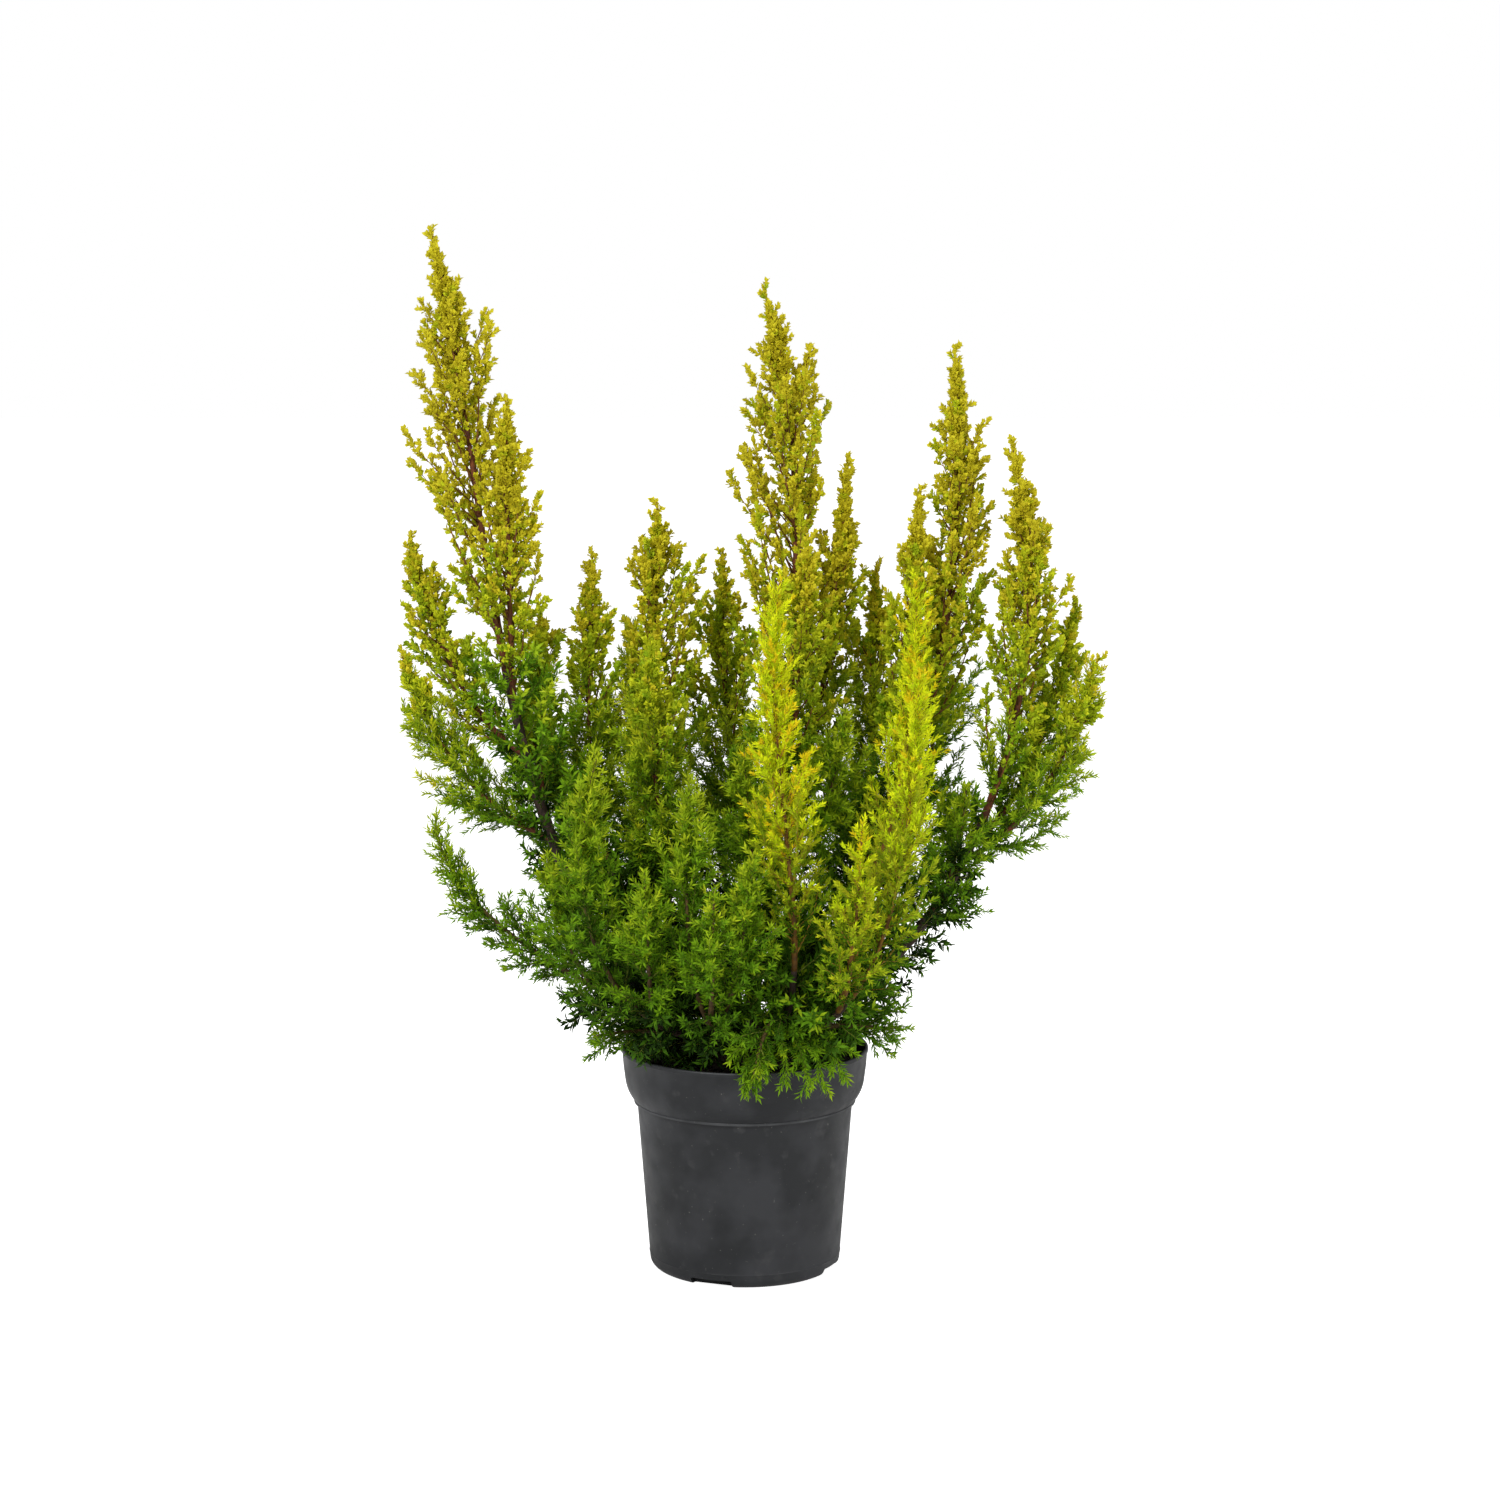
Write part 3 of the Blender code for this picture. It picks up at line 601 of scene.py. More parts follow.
class Bench:
    """Modelling steps that the sub-assemblies share."""

    @staticmethod
    def clear_selection() -> None:
        """Leaves nothing selected, so that an operator acts on the new piece alone."""
        if bpy.context.mode != "OBJECT":
            bpy.ops.object.mode_set(mode="OBJECT")
        bpy.ops.object.select_all(action="DESELECT")

    @staticmethod
    def take(piece: bpy.types.Object) -> None:
        """Selects one piece alone and makes it active.

        Args:
            piece: The piece to work on.
        """
        Bench.clear_selection()
        piece.select_set(True)
        bpy.context.view_layer.objects.active = piece

    @staticmethod
    def settle(piece: bpy.types.Object, name: str) -> bpy.types.Object:
        """Names a piece, and puts its place into its mesh.

        Args:
            piece: The piece to settle.
            name: Its new name.

        Returns:
            The piece.
        """
        Bench.take(piece)
        bpy.ops.object.transform_apply(location=True, rotation=True, scale=True)
        piece.name = name
        piece.data.name = name
        return piece

    @staticmethod
    def apply(piece: bpy.types.Object, kind: str, **settings: object) -> None:
        """Adds a modifier to a piece and applies it.

        Args:
            piece: The piece to change.
            kind: The modifier's type.
            settings: The modifier's settings.
        """
        Bench.take(piece)
        modifier = piece.modifiers.new(kind.lower(), kind)
        for setting, value in settings.items():
            setattr(modifier, setting, value)
        bpy.ops.object.modifier_apply(modifier=modifier.name)

    @staticmethod
    def roughen(piece: bpy.types.Object, size: float, depth: float) -> None:
        """Pushes a mesh's surface in and out by soft noise.

        Args:
            piece: The piece to change.
            size: The size of a lump.
            depth: The distance from the deepest place to the highest.
        """
        texture = bpy.data.textures.new(piece.name + "_relief", "CLOUDS")
        texture.noise_scale = size
        texture.noise_depth = 2
        Bench.apply(piece, "DISPLACE", texture=texture, strength=depth, texture_coords="LOCAL")

    @staticmethod
    def close_seams(piece: bpy.types.Object) -> None:
        """Merges doubled points of a piece and turns its faces outwards.

        Args:
            piece: The piece to close.
        """
        Bench.take(piece)
        bpy.ops.object.mode_set(mode="EDIT")
        bpy.ops.mesh.select_all(action="SELECT")
        bpy.ops.mesh.remove_doubles(threshold=MERGE_DISTANCE)
        bpy.ops.mesh.normals_make_consistent(inside=False)
        bpy.ops.object.mode_set(mode="OBJECT")

    @staticmethod
    def from_arrays(name: str, points: np.ndarray, triangles: np.ndarray) -> bpy.types.Object:
        """Makes one object of many small shapes.

        Args:
            name: The object's name.
            points: The places of all corners, as rows.
            triangles: Three corner numbers for each face, as rows.

        Returns:
            The object, linked to the scene.
        """
        mesh = bpy.data.meshes.new(name)
        mesh.vertices.add(len(points))
        mesh.vertices.foreach_set("co", np.ascontiguousarray(points, np.float32).ravel())
        mesh.loops.add(3 * len(triangles))
        mesh.loops.foreach_set("vertex_index", np.ascontiguousarray(triangles, np.int32).ravel())
        mesh.polygons.add(len(triangles))
        mesh.polygons.foreach_set("loop_start", np.arange(0, 3 * len(triangles), 3, dtype=np.int32))
        mesh.update(calc_edges=True)
        mesh.shade_flat()
        made = bpy.data.objects.new(name, mesh)
        bpy.context.scene.collection.objects.link(made)
        return made

    @staticmethod
    def finish(
        piece: bpy.types.Object, finish: bpy.types.Material, slot: Slot, stands_for: tuple[str, ...] = ()
    ) -> None:
        """Dresses a piece and sets it on the plant's one body.

        Args:
            piece: The finished piece.
            finish: Its material.
            slot: The record's material slot for the piece; it is not used.
            stands_for: The solids that it is shown in place of.
        """
        piece.data.materials.clear()
        piece.data.materials.append(finish)
        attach(piece, BODY)
        if stands_for:
            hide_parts(*stands_for)
        LOG.info("%s: %d faces", piece.name, len(piece.data.polygons))


def arc(
    centre: tuple[float, float], radius: float, first: float, last: float, steps: int
) -> list[tuple[float, float]]:
    """Profile points along an arc.

    Args:
        centre: Radius and height of the arc's middle.
        radius: The arc's own radius.
        first: The angle of its first point, in degrees.
        last: The angle of its last point, in degrees.
        steps: How many straight runs it has.

    Returns:
        Pairs of radius and height.
    """
    angles = np.radians(np.linspace(first, last, steps + 1))
    return [(centre[0] + radius * math.cos(angle), centre[1] + radius * math.sin(angle)) for angle in angles]


@dataclass
class NurseryPot:
    """The pot: a tapering wall, a wider collar with a bevelled foot, a flat floor and four drain notches."""

    finish: bpy.types.Material
    height: float = 172 * MM
    rim_radius: float = 95 * MM
    rim_rounding: float = 1.0 * MM
    collar_height: float = 42.5 * MM
    collar_foot_radius: float = 84.5 * MM
    collar_low_radius: float = 92 * MM
    bevel_height: float = 16.5 * MM
    bevel_bulge: float = 1.0 * MM
    lip: float = 1.0 * MM
    lip_height: float = 1.5 * MM
    inner_step: float = 18 * MM
    body_top_radius: float = 83 * MM
    base_radius: float = 73.5 * MM
    base_rounding: float = 7 * MM
    wall: float = 2.2 * MM
    stacking_ledge: float = 8 * MM
    ridge_height: float = 11 * MM
    ridge_depth: float = 0.35 * MM
    sides: int = 144
    base_steps: int = 8
    wall_rings: int = 7
    bevel_rings: int = 8
    rim_steps: tuple[int, int] = (4, 3)
    smooth_angle: float = math.radians(32)
    notches: int = 4
    notch_width: float = 33 * MM
    notch_height: float = 6.0 * MM
    notch_depth: float = 11 * MM
    notch_rounding: float = 1.2 * MM
    first_notch_angle: float = math.radians(-111)

    def profile(self) -> list[tuple[float, float]]:
        """The rings up the outside from the underside, and down the inside to the floor.

        Returns:
            Pairs of radius and height.
        """
        foot = self.height - self.collar_height
        slope = (self.body_top_radius - self.base_radius) / (foot - self.base_rounding)

        def wall_radius(height: float) -> float:
            """The outer wall's radius at a height below the collar."""
            return self.base_radius + slope * (height - self.base_rounding)

        ridge = self.ridge_height
        half = 2 * self.ridge_depth
        base_middle = (self.base_radius - self.base_rounding, self.base_rounding)
        outside = arc(base_middle, self.base_rounding, -90, 0, self.base_steps)
        outside += [
            (wall_radius(ridge - half), ridge - half),
            (wall_radius(ridge) + self.ridge_depth, ridge),
            (wall_radius(ridge + half), ridge + half),
        ]
        heights = np.linspace(0.2, 0.97, self.wall_rings) * foot
        outside += [(wall_radius(height), height) for height in heights]
        outside.append((self.body_top_radius, foot))
        outside += self._collar_bevel(foot)
        lip = self.height - 3 * self.rim_rounding
        outside += [
            ((self.collar_low_radius + self.rim_radius) / 2, (foot + self.bevel_height + lip) / 2),
            (self.rim_radius - 2 * self.ridge_depth, lip - self.rim_rounding),
            (self.rim_radius, lip),
        ]
        rim = self.rim_rounding
        outside += arc((self.rim_radius - rim, self.height - rim), rim, 0, 90, self.rim_steps[0])
        inner_rim = self.rim_radius - self.wall
        inside = arc((inner_rim + rim / 2, self.height - rim / 2), rim / 2, 90, 180, self.rim_steps[1])
        inside += [
            (self.collar_low_radius - self.wall, foot + self.inner_step),
            (self.body_top_radius - self.wall, foot + self.inner_step - self.stacking_ledge),
            (self.base_radius - self.wall, self.base_rounding),
            (self.base_radius - self.base_rounding, self.wall),
        ]
        return outside + inside

    def _collar_bevel(self, foot: float) -> list[tuple[float, float]]:
        """The thin upright lip at the collar's foot, and the softly bulging bevel over it.

        Args:
            foot: The height of the collar's foot.

        Returns:
            Pairs of radius and height.
        """
        lip_radius = self.collar_foot_radius + self.lip
        lip = [(lip_radius, foot), (lip_radius + 0.1 * MM, foot + self.lip_height)]
        bulge = (lip_radius + self.collar_low_radius) / 2 + 2 * self.bevel_bulge
        handles = np.array([
            (lip_radius - 0.2 * MM, foot + self.lip_height + 0.4 * MM),
            (bulge, foot + self.bevel_height / 2),
            (self.collar_low_radius, foot + self.bevel_height),
        ])
        curve = bezier(handles, np.linspace(0, 1, self.bevel_rings))
        return lip + [(float(radius), float(height)) for radius, height in curve]

    def build(self) -> None:
        """Extrudes a circle up the outside and down the inside, cuts the notches and dresses the pot."""
        rings = self.profile()
        radius, height = rings[0]
        Bench.clear_selection()
        bpy.ops.mesh.primitive_circle_add(
            vertices=self.sides, radius=radius, fill_type="NGON", location=(0, 0, height)
        )
        pot = bpy.context.object
        bpy.ops.object.mode_set(mode="EDIT")
        bpy.ops.mesh.select_all(action="SELECT")
        for next_radius, next_height in rings[1:]:
            bpy.ops.mesh.extrude_region_move(TRANSFORM_OT_translate={"value": (0, 0, next_height - height)})
            scale = next_radius / radius
            bpy.ops.transform.resize(value=(scale, scale, 1), center_override=(0, 0, next_height))
            radius, height = next_radius, next_height
        bpy.ops.object.mode_set(mode="OBJECT")
        Bench.settle(pot, "nursery_pot")
        self._close_underside(pot)
        for step in range(self.notches):
            self._cut_notch(pot, self.first_notch_angle + step * 2 * math.pi / self.notches)
        Bench.take(pot)
        bpy.ops.object.shade_smooth_by_angle(angle=self.smooth_angle)
        Bench.finish(pot, self.finish, Slot.POT, ("pot",))

    @staticmethod
    def _close_underside(pot: bpy.types.Object) -> None:
        """Fills the open ring that the extrusion leaves under the pot, and turns all faces outwards.

        Args:
            pot: The pot's mesh.
        """
        Bench.take(pot)
        bpy.ops.object.mode_set(mode="EDIT")
        bpy.ops.mesh.select_all(action="DESELECT")
        bpy.ops.mesh.select_mode(type="EDGE")
        bpy.ops.mesh.select_non_manifold()
        bpy.ops.mesh.edge_face_add()
        bpy.ops.object.mode_set(mode="OBJECT")
        Bench.close_seams(pot)

    def _cut_notch(self, pot: bpy.types.Object, angle: float) -> None:
        """Cuts one drain notch with a block that has rounded upright edges.

        Args:
            pot: The pot's mesh.
            angle: The notch's place round the pot.
        """
        Bench.clear_selection()
        place = (self.base_radius * math.cos(angle), self.base_radius * math.sin(angle), 0)
        size = (2 * self.notch_depth, self.notch_width, 2 * self.notch_height)
        bpy.ops.mesh.primitive_cube_add(size=1, location=place, rotation=(0, 0, angle), scale=size)
        cutter = Bench.settle(bpy.context.object, "notch_cutter")
        Bench.apply(cutter, "BEVEL", width=self.notch_rounding, segments=3)
        Bench.apply(pot, "BOOLEAN", operation="DIFFERENCE", object=cutter, solver="EXACT")
        bpy.data.objects.remove(cutter, do_unlink=True)


@dataclass
class PottingSoil:
    """The soil's crumbly top inside the rim, with loose crumbs on it.

    lumps are the sizes and depths of its relief.
    """

    peat: bpy.types.Material
    loose_peat: bpy.types.Material
    top: float = 160 * MM
    fall: float = 3 * MM
    radius: float = 90.6 * MM
    depth: float = 12 * MM
    sides: int = 120
    ring_width: float = 3.2 * MM
    lumps: tuple[tuple[float, float], ...] = ((9 * MM, 4.0 * MM), (3 * MM, 2.2 * MM))
    crumbs: int = 900
    crumb_size: tuple[float, float] = (0.8 * MM, 2.6 * MM)
    crumb_bumps: tuple[float, float] = (0.7, 1.2)
    crumb_lift: float = 0.8 * MM
    crumb_edge: float = 0.96
    seed: int = 11

    def build(self) -> None:
        """Builds the bed and the crumbs."""
        self._bed()
        self._crumbs()

    def _bed(self) -> None:
        """A disc inset ring by ring, lowered towards the wall, roughened and given its depth."""
        Bench.clear_selection()
        bpy.ops.mesh.primitive_circle_add(
            vertices=self.sides, radius=self.radius, fill_type="NGON", location=(0, 0, self.top)
        )
        bed = bpy.context.object
        bpy.ops.object.mode_set(mode="EDIT")
        bpy.ops.mesh.select_mode(type="FACE")
        bpy.ops.mesh.select_all(action="SELECT")
        for _ in range(int(self.radius / self.ring_width) - 1):
            bpy.ops.mesh.inset(thickness=self.ring_width)
        bpy.ops.mesh.poke()
        bpy.ops.object.mode_set(mode="OBJECT")
        Bench.settle(bed, "soil_bed")
        for vertex in bed.data.vertices:
            out = math.hypot(vertex.co.x, vertex.co.y) / self.radius
            vertex.co.z -= self.fall * out**3
        for size, depth in self.lumps:
            Bench.roughen(bed, size, depth)
        Bench.apply(bed, "SOLIDIFY", thickness=self.depth, offset=-1)
        Bench.take(bed)
        bpy.ops.object.shade_smooth()
        Bench.finish(bed, self.peat, Slot.PEAT, ("soil",))

    def _crumbs(self) -> None:
        """Loose crumbs: one small lump, copied with its own size, turn and place for each crumb."""
        Bench.clear_selection()
        bpy.ops.mesh.primitive_ico_sphere_add(subdivisions=1, radius=1)
        model = bpy.context.object
        corners = np.array([vertex.co for vertex in model.data.vertices])
        faces = np.array([face.vertices for face in model.data.polygons])
        bpy.data.objects.remove(model, do_unlink=True)
        chance = np.random.default_rng(self.seed)
        out = self.radius * np.sqrt(chance.uniform(0, self.crumb_edge, self.crumbs))
        turn = chance.uniform(0, 2 * math.pi, self.crumbs)
        size = chance.uniform(*self.crumb_size, (self.crumbs, 3))
        bumps = chance.uniform(*self.crumb_bumps, (self.crumbs, len(corners), 1))
        shapes = corners * bumps * size[:, None]
        centre = np.stack([out * np.cos(turn), out * np.sin(turn), np.zeros(self.crumbs)], 1)
        centre[:, 2] = self.top - self.fall * (out / self.radius) ** 3 + self.crumb_lift
        points = (shapes + centre[:, None]).reshape(-1, 3)
        triangles = (faces + len(corners) * np.arange(self.crumbs)[:, None, None]).reshape(-1, 3)
        crumbs = Bench.from_arrays("soil_crumbs", points, triangles)
        Bench.finish(crumbs, self.loose_peat, Slot.PEAT)


def bezier(handles: np.ndarray, shares: np.ndarray) -> np.ndarray:
    """Points of a Bezier curve with any number of handles.

    Args:
        handles: The curve's handles, as rows.
        shares: Places along the curve, from 0 to 1.

    Returns:
        One point for each share, as rows.
    """
    levels = np.repeat(handles[None], len(shares), 0)
    part = shares[:, None, None]
    while levels.shape[1] > 1:
        levels = levels[:, :-1] * (1 - part) + levels[:, 1:] * part
    return levels[:, 0]


def unit(rows: np.ndarray) -> np.ndarray:
    """Rows scaled to a length of one."""
    return rows / np.linalg.norm(rows, axis=-1, keepdims=True)


class Path:
    """A smooth curve, measured by the distance along it."""

    steps: int = 80
    heading_step: float = 4 * MM

    def __init__(self, handles: list[np.ndarray]) -> None:
        """Works out the curve.

        Args:
            handles: The curve's handles.
        """
        self.points = bezier(np.array(handles, float), np.linspace(0, 1, self.steps + 1))
        runs = np.linalg.norm(np.diff(self.points, axis=0), axis=1)
        self.reach = np.concatenate(([0.0], np.cumsum(runs)))
        self.length = float(self.reach[-1])

    def at(self, distances: np.ndarray) -> np.ndarray:
        """The points at some distances from the curve's start, as rows."""
        return np.stack([np.interp(distances, self.reach, self.points[:, axis]) for axis in range(3)], -1)

    def headings(self, distances: np.ndarray) -> np.ndarray:
        """The unit directions of the curve at some distances from its start, as rows."""
        return unit(self.at(distances + self.heading_step) - self.at(distances - self.heading_step))


@dataclass
class Axis:
    """The middle line of a bough or a stem, with its radius at both ends."""

    path: Path
    start: float
    end: float
    foot_radius: float
    end_radius: float

    @property
    def length(self) -> float:
        """The length of the middle line."""
        return self.end - self.start

    def radii(self, shares: np.ndarray) -> np.ndarray:
        """The radius at some shares of the length."""
        return self.foot_radius + shares * (self.end_radius - self.foot_radius)

    def at(self, shares: np.ndarray) -> np.ndarray:
        """The points at some shares of the length, as rows."""
        return self.path.at(self.start + np.asarray(shares) * self.length)

    def headings(self, shares: np.ndarray) -> np.ndarray:
        """The unit directions at some shares of the length, as rows."""
        return self.path.headings(self.start + np.asarray(shares) * self.length)

    def line(self, step: float) -> np.ndarray:
        """Points along the middle line, about a step apart, as rows."""
        count = max(2, round(self.length / step))
        return self.at(np.linspace(0, 1, count + 1))


@dataclass
class Skeleton:
    """The middle lines of all boughs and stems, worked out as the solids are."""

    soil_top: float = 160 * MM
    rootstock_radius: float = 34 * MM
    rootstock_height: float = 27 * MM
    bough_end_share: float = 0.6
    bough_rise: float = 30 * MM
    bough_step: float = 36 * MM
    stem_tip_radius: float = 0.9 * MM
    flank_stem_radius: float = 2.5 * MM
    flank_reach: float = 0.72
    flank_lift: float = 0.22
    boughs: dict[str, Axis] = field(default_factory=dict)
    stems: dict[str, Axis] = field(default_factory=dict)

    def __post_init__(self) -> None:
        """Works out every middle line."""
        for limb in LIMBS:
            self.boughs[limb.name], self.stems[limb.name] = self._limb(limb)
        for flank in FLANKS:
            self.stems[flank.name] = self._flank(flank, self.boughs[flank.limb])

    def _limb(self, limb: Limb) -> tuple[Axis, Axis]:
        """The middle lines of a limb's bough and of the spire on its tip.

        Args:
            limb: The limb.

        Returns:
            The bough's line and the spire's line.
        """
        azimuth, slope = (math.radians(angle) for angle in limb.foot)
        outward = np.array((math.cos(azimuth), math.sin(azimuth), 0.0))
        radius = self.rootstock_radius * math.cos(slope)
        rise = self.rootstock_height * math.sin(slope)
        foot = outward * radius + UP * (self.soil_top + GAP + rise)
        normal = unit(outward * radius / self.rootstock_radius**2 + UP * rise / self.rootstock_height**2)
        knee, neck, tip = (np.array(place) * MM for place in (limb.knee, limb.neck, limb.tip))
        path = Path([foot, foot + normal * self.bough_rise, knee, neck, tip])
        foot_radius = limb.thick * MM
        end_radius = foot_radius * self.bough_end_share
        seam = limb.bare * path.length
        bough = Axis(path, GAP, seam, foot_radius, end_radius)
        spire = Axis(path, seam + GAP, path.length, end_radius, self.stem_tip_radius)
        return bough, spire

    def _flank(self, flank: Flank, bough: Axis) -> Axis:
        """The middle line of a smaller spire, out from its bough's side and then up.

        Args:
            flank: The smaller spire.
            bough: The bough that it leaves.

        Returns:
            The stem's line.
        """
        line = bough.line(self.bough_step)
        share = (flank.at * bough.path.length - bough.start) / bough.length
        run, rest = divmod(share * (len(line) - 1), 1)
        low, high = line[int(run)], line[int(run) + 1]
        root, along = low + (high - low) * rest, unit(high - low)
        tip = np.array(flank.tip) * MM
        out = (tip - root) * LEVEL
        lift = self.flank_lift * (tip[2] - root[2]) + flank.arch * MM
        bend = root + out * self.flank_reach + UP * lift
        path = Path([root, bend, tip])
        heading = unit(bend - root)
        seat = unit(heading - along * heading.dot(along))
        start = (float(bough.radii(share)) + GAP) / heading.dot(seat)
        return Axis(path, start, path.length, self.flank_stem_radius, self.stem_tip_radius)


@dataclass
class Crown:
    """Every mass's own space: nearer to its stem than to any other, clear of boughs, pot and soil."""

    skeleton: Skeleton
    pot: NurseryPot
    box: tuple[Vector, Vector]
    clear: float = 0.9 * MM
    pot_clear: float = 1.2 * MM
    step: float = 14 * MM
    batch: int = 4000

    def __post_init__(self) -> None:
        """Breaks every middle line into straight runs."""
        self.names = list(self.skeleton.stems)
        self.stem_runs = self._runs([axis.line(self.step) for axis in self.skeleton.stems.values()])
        self.bough_runs = self._runs([axis.line(self.step) for axis in self.skeleton.boughs.values()])
        self.bough_radii = np.array([axis.foot_radius for axis in self.skeleton.boughs.values()])

    @staticmethod
    def _runs(lines: list[np.ndarray]) -> Runs:
        """Joins lines into one set of straight runs.

        Args:
            lines: The points of each line.

        Returns:
            The runs' starts and their ways, and the number of each line's first run.
        """
        starts = np.concatenate([line[:-1] for line in lines])
        ways = np.concatenate([line[1:] - line[:-1] for line in lines])
        firsts = np.concatenate(([0], np.cumsum([len(line) - 1 for line in lines])[:-1]))
        return starts, ways, firsts

    @staticmethod
    def _distances(points: np.ndarray, runs: Runs) -> np.ndarray:
        """The least distance from each point to each line.

        Args:
            points: The points, as rows.
            runs: The lines' runs.

        Returns:
            A row for each point and a column for each line.
        """
        starts, ways, firsts = runs
        to_point = points[:, None] - starts
        along = (to_point * ways).sum(2) / (ways * ways).sum(1)
        off = to_point - np.clip(along, 0, 1)[..., None] * ways
        return np.minimum.reduceat(np.sqrt((off * off).sum(2)), firsts, axis=1)

    def holds(self, owners: np.ndarray, points: np.ndarray, any_mass: bool = False) -> np.ndarray:
        """Says which points lie in the space of the mass that owns them.

        Args:
            owners: The number of the mass that owns each point.
            points: The points, as rows.
            any_mass: True for needles and for shoots on boughs, which only stay clear of boughs, pot
                and soil.

        Returns:
            True or False for each point.
        """
        kept = np.zeros(len(points), bool)
        for first in range(0, len(points), self.batch):
            part = slice(first, first + self.batch)
            place, owner = points[part], owners[part]
            rows = np.arange(len(place))
            clear = np.ones(len(place), bool)
            if not any_mass:
                off = self._distances(place, self.stem_runs)
                own = off[rows, owner]
                off[rows, owner] = np.inf
                clear = off.min(1) > own + 2 * self.clear
            wood = self._distances(place, self.bough_runs)
            inside = (place > self.box[0]).all(1) & (place < self.box[1]).all(1)
            off_wood = (wood > self.bough_radii + self.clear).all(1)
            kept[part] = clear & inside & off_wood & self._off_pot(place)
        return kept

    def in_box(self, corners: np.ndarray) -> np.ndarray:
        """Says which needles have all their corners in the solids' box."""
        return ((corners > self.box[0]) & (corners < self.box[1])).all((1, 2))

    def _off_pot(self, points: np.ndarray) -> np.ndarray:
        """Says which points are above the rim, beside the pot, or in its mouth above the soil.

        Args:
            points: The points, as rows.

        Returns:
            True or False for each point.
        """
        pot, margin = self.pot, self.pot_clear
        out = np.hypot(points[:, 0], points[:, 1])
        above_rim = points[:, 2] > pot.height + margin
        beside = (out > pot.rim_radius + margin) & (points[:, 2] > margin)
        in_mouth = out < pot.collar_low_radius - pot.wall - margin
        return above_rim | beside | (in_mouth & (points[:, 2] > self.skeleton.soil_top + margin))


@dataclass
class Rootstock:
    """The low, flared, gnarled foot of the clump.

    flare is how much wider it is at the soil, over the lowest flare_share of its height, and lumps are the
    sizes and depths of its relief.
    """

    finish: bpy.types.Material
    radius: float = 34 * MM
    height: float = 27 * MM
    floor: float = 160.3 * MM
    flare: float = 1.13
    flare_share: float = 0.4
    sides: int = 72
    rings: int = 40
    lumps: tuple[tuple[float, float], ...] = ((11 * MM, 3.4 * MM), (3 * MM, 1.0 * MM))
    smooth_angle: float = math.radians(50)

    def build(self) -> None:
        """Presses a ball flat, cuts it off at the soil, flares its foot and roughens it."""
        Bench.clear_selection()
        bpy.ops.mesh.primitive_uv_sphere_add(
            segments=self.sides, ring_count=self.rings, radius=self.radius, location=(0, 0, self.floor)
        )
        foot = bpy.context.object
        bpy.ops.object.mode_set(mode="EDIT")
        bpy.ops.mesh.select_all(action="SELECT")
        bpy.ops.transform.resize(value=(1, 1, self.height / self.radius), center_override=(0, 0, self.floor))
        bpy.ops.mesh.bisect(
            plane_co=(0, 0, self.floor + GAP), plane_no=(0, 0, 1), use_fill=True, clear_inner=True
        )
        bpy.ops.object.mode_set(mode="OBJECT")
        Bench.settle(foot, "rootstock_wood")
        for vertex in foot.data.vertices:
            low = 1 - min(1.0, (vertex.co.z - self.floor) / (self.flare_share * self.height))
            spread = 1 + (self.flare - 1) * low**2
            vertex.co.x *= spread
            vertex.co.y *= spread
        for size, depth in self.lumps:
            Bench.roughen(foot, size, depth)
        Bench.take(foot)
        bpy.ops.object.shade_smooth_by_angle(angle=self.smooth_angle)
        Bench.finish(foot, self.finish, Slot.BARK, ("rootstock",))


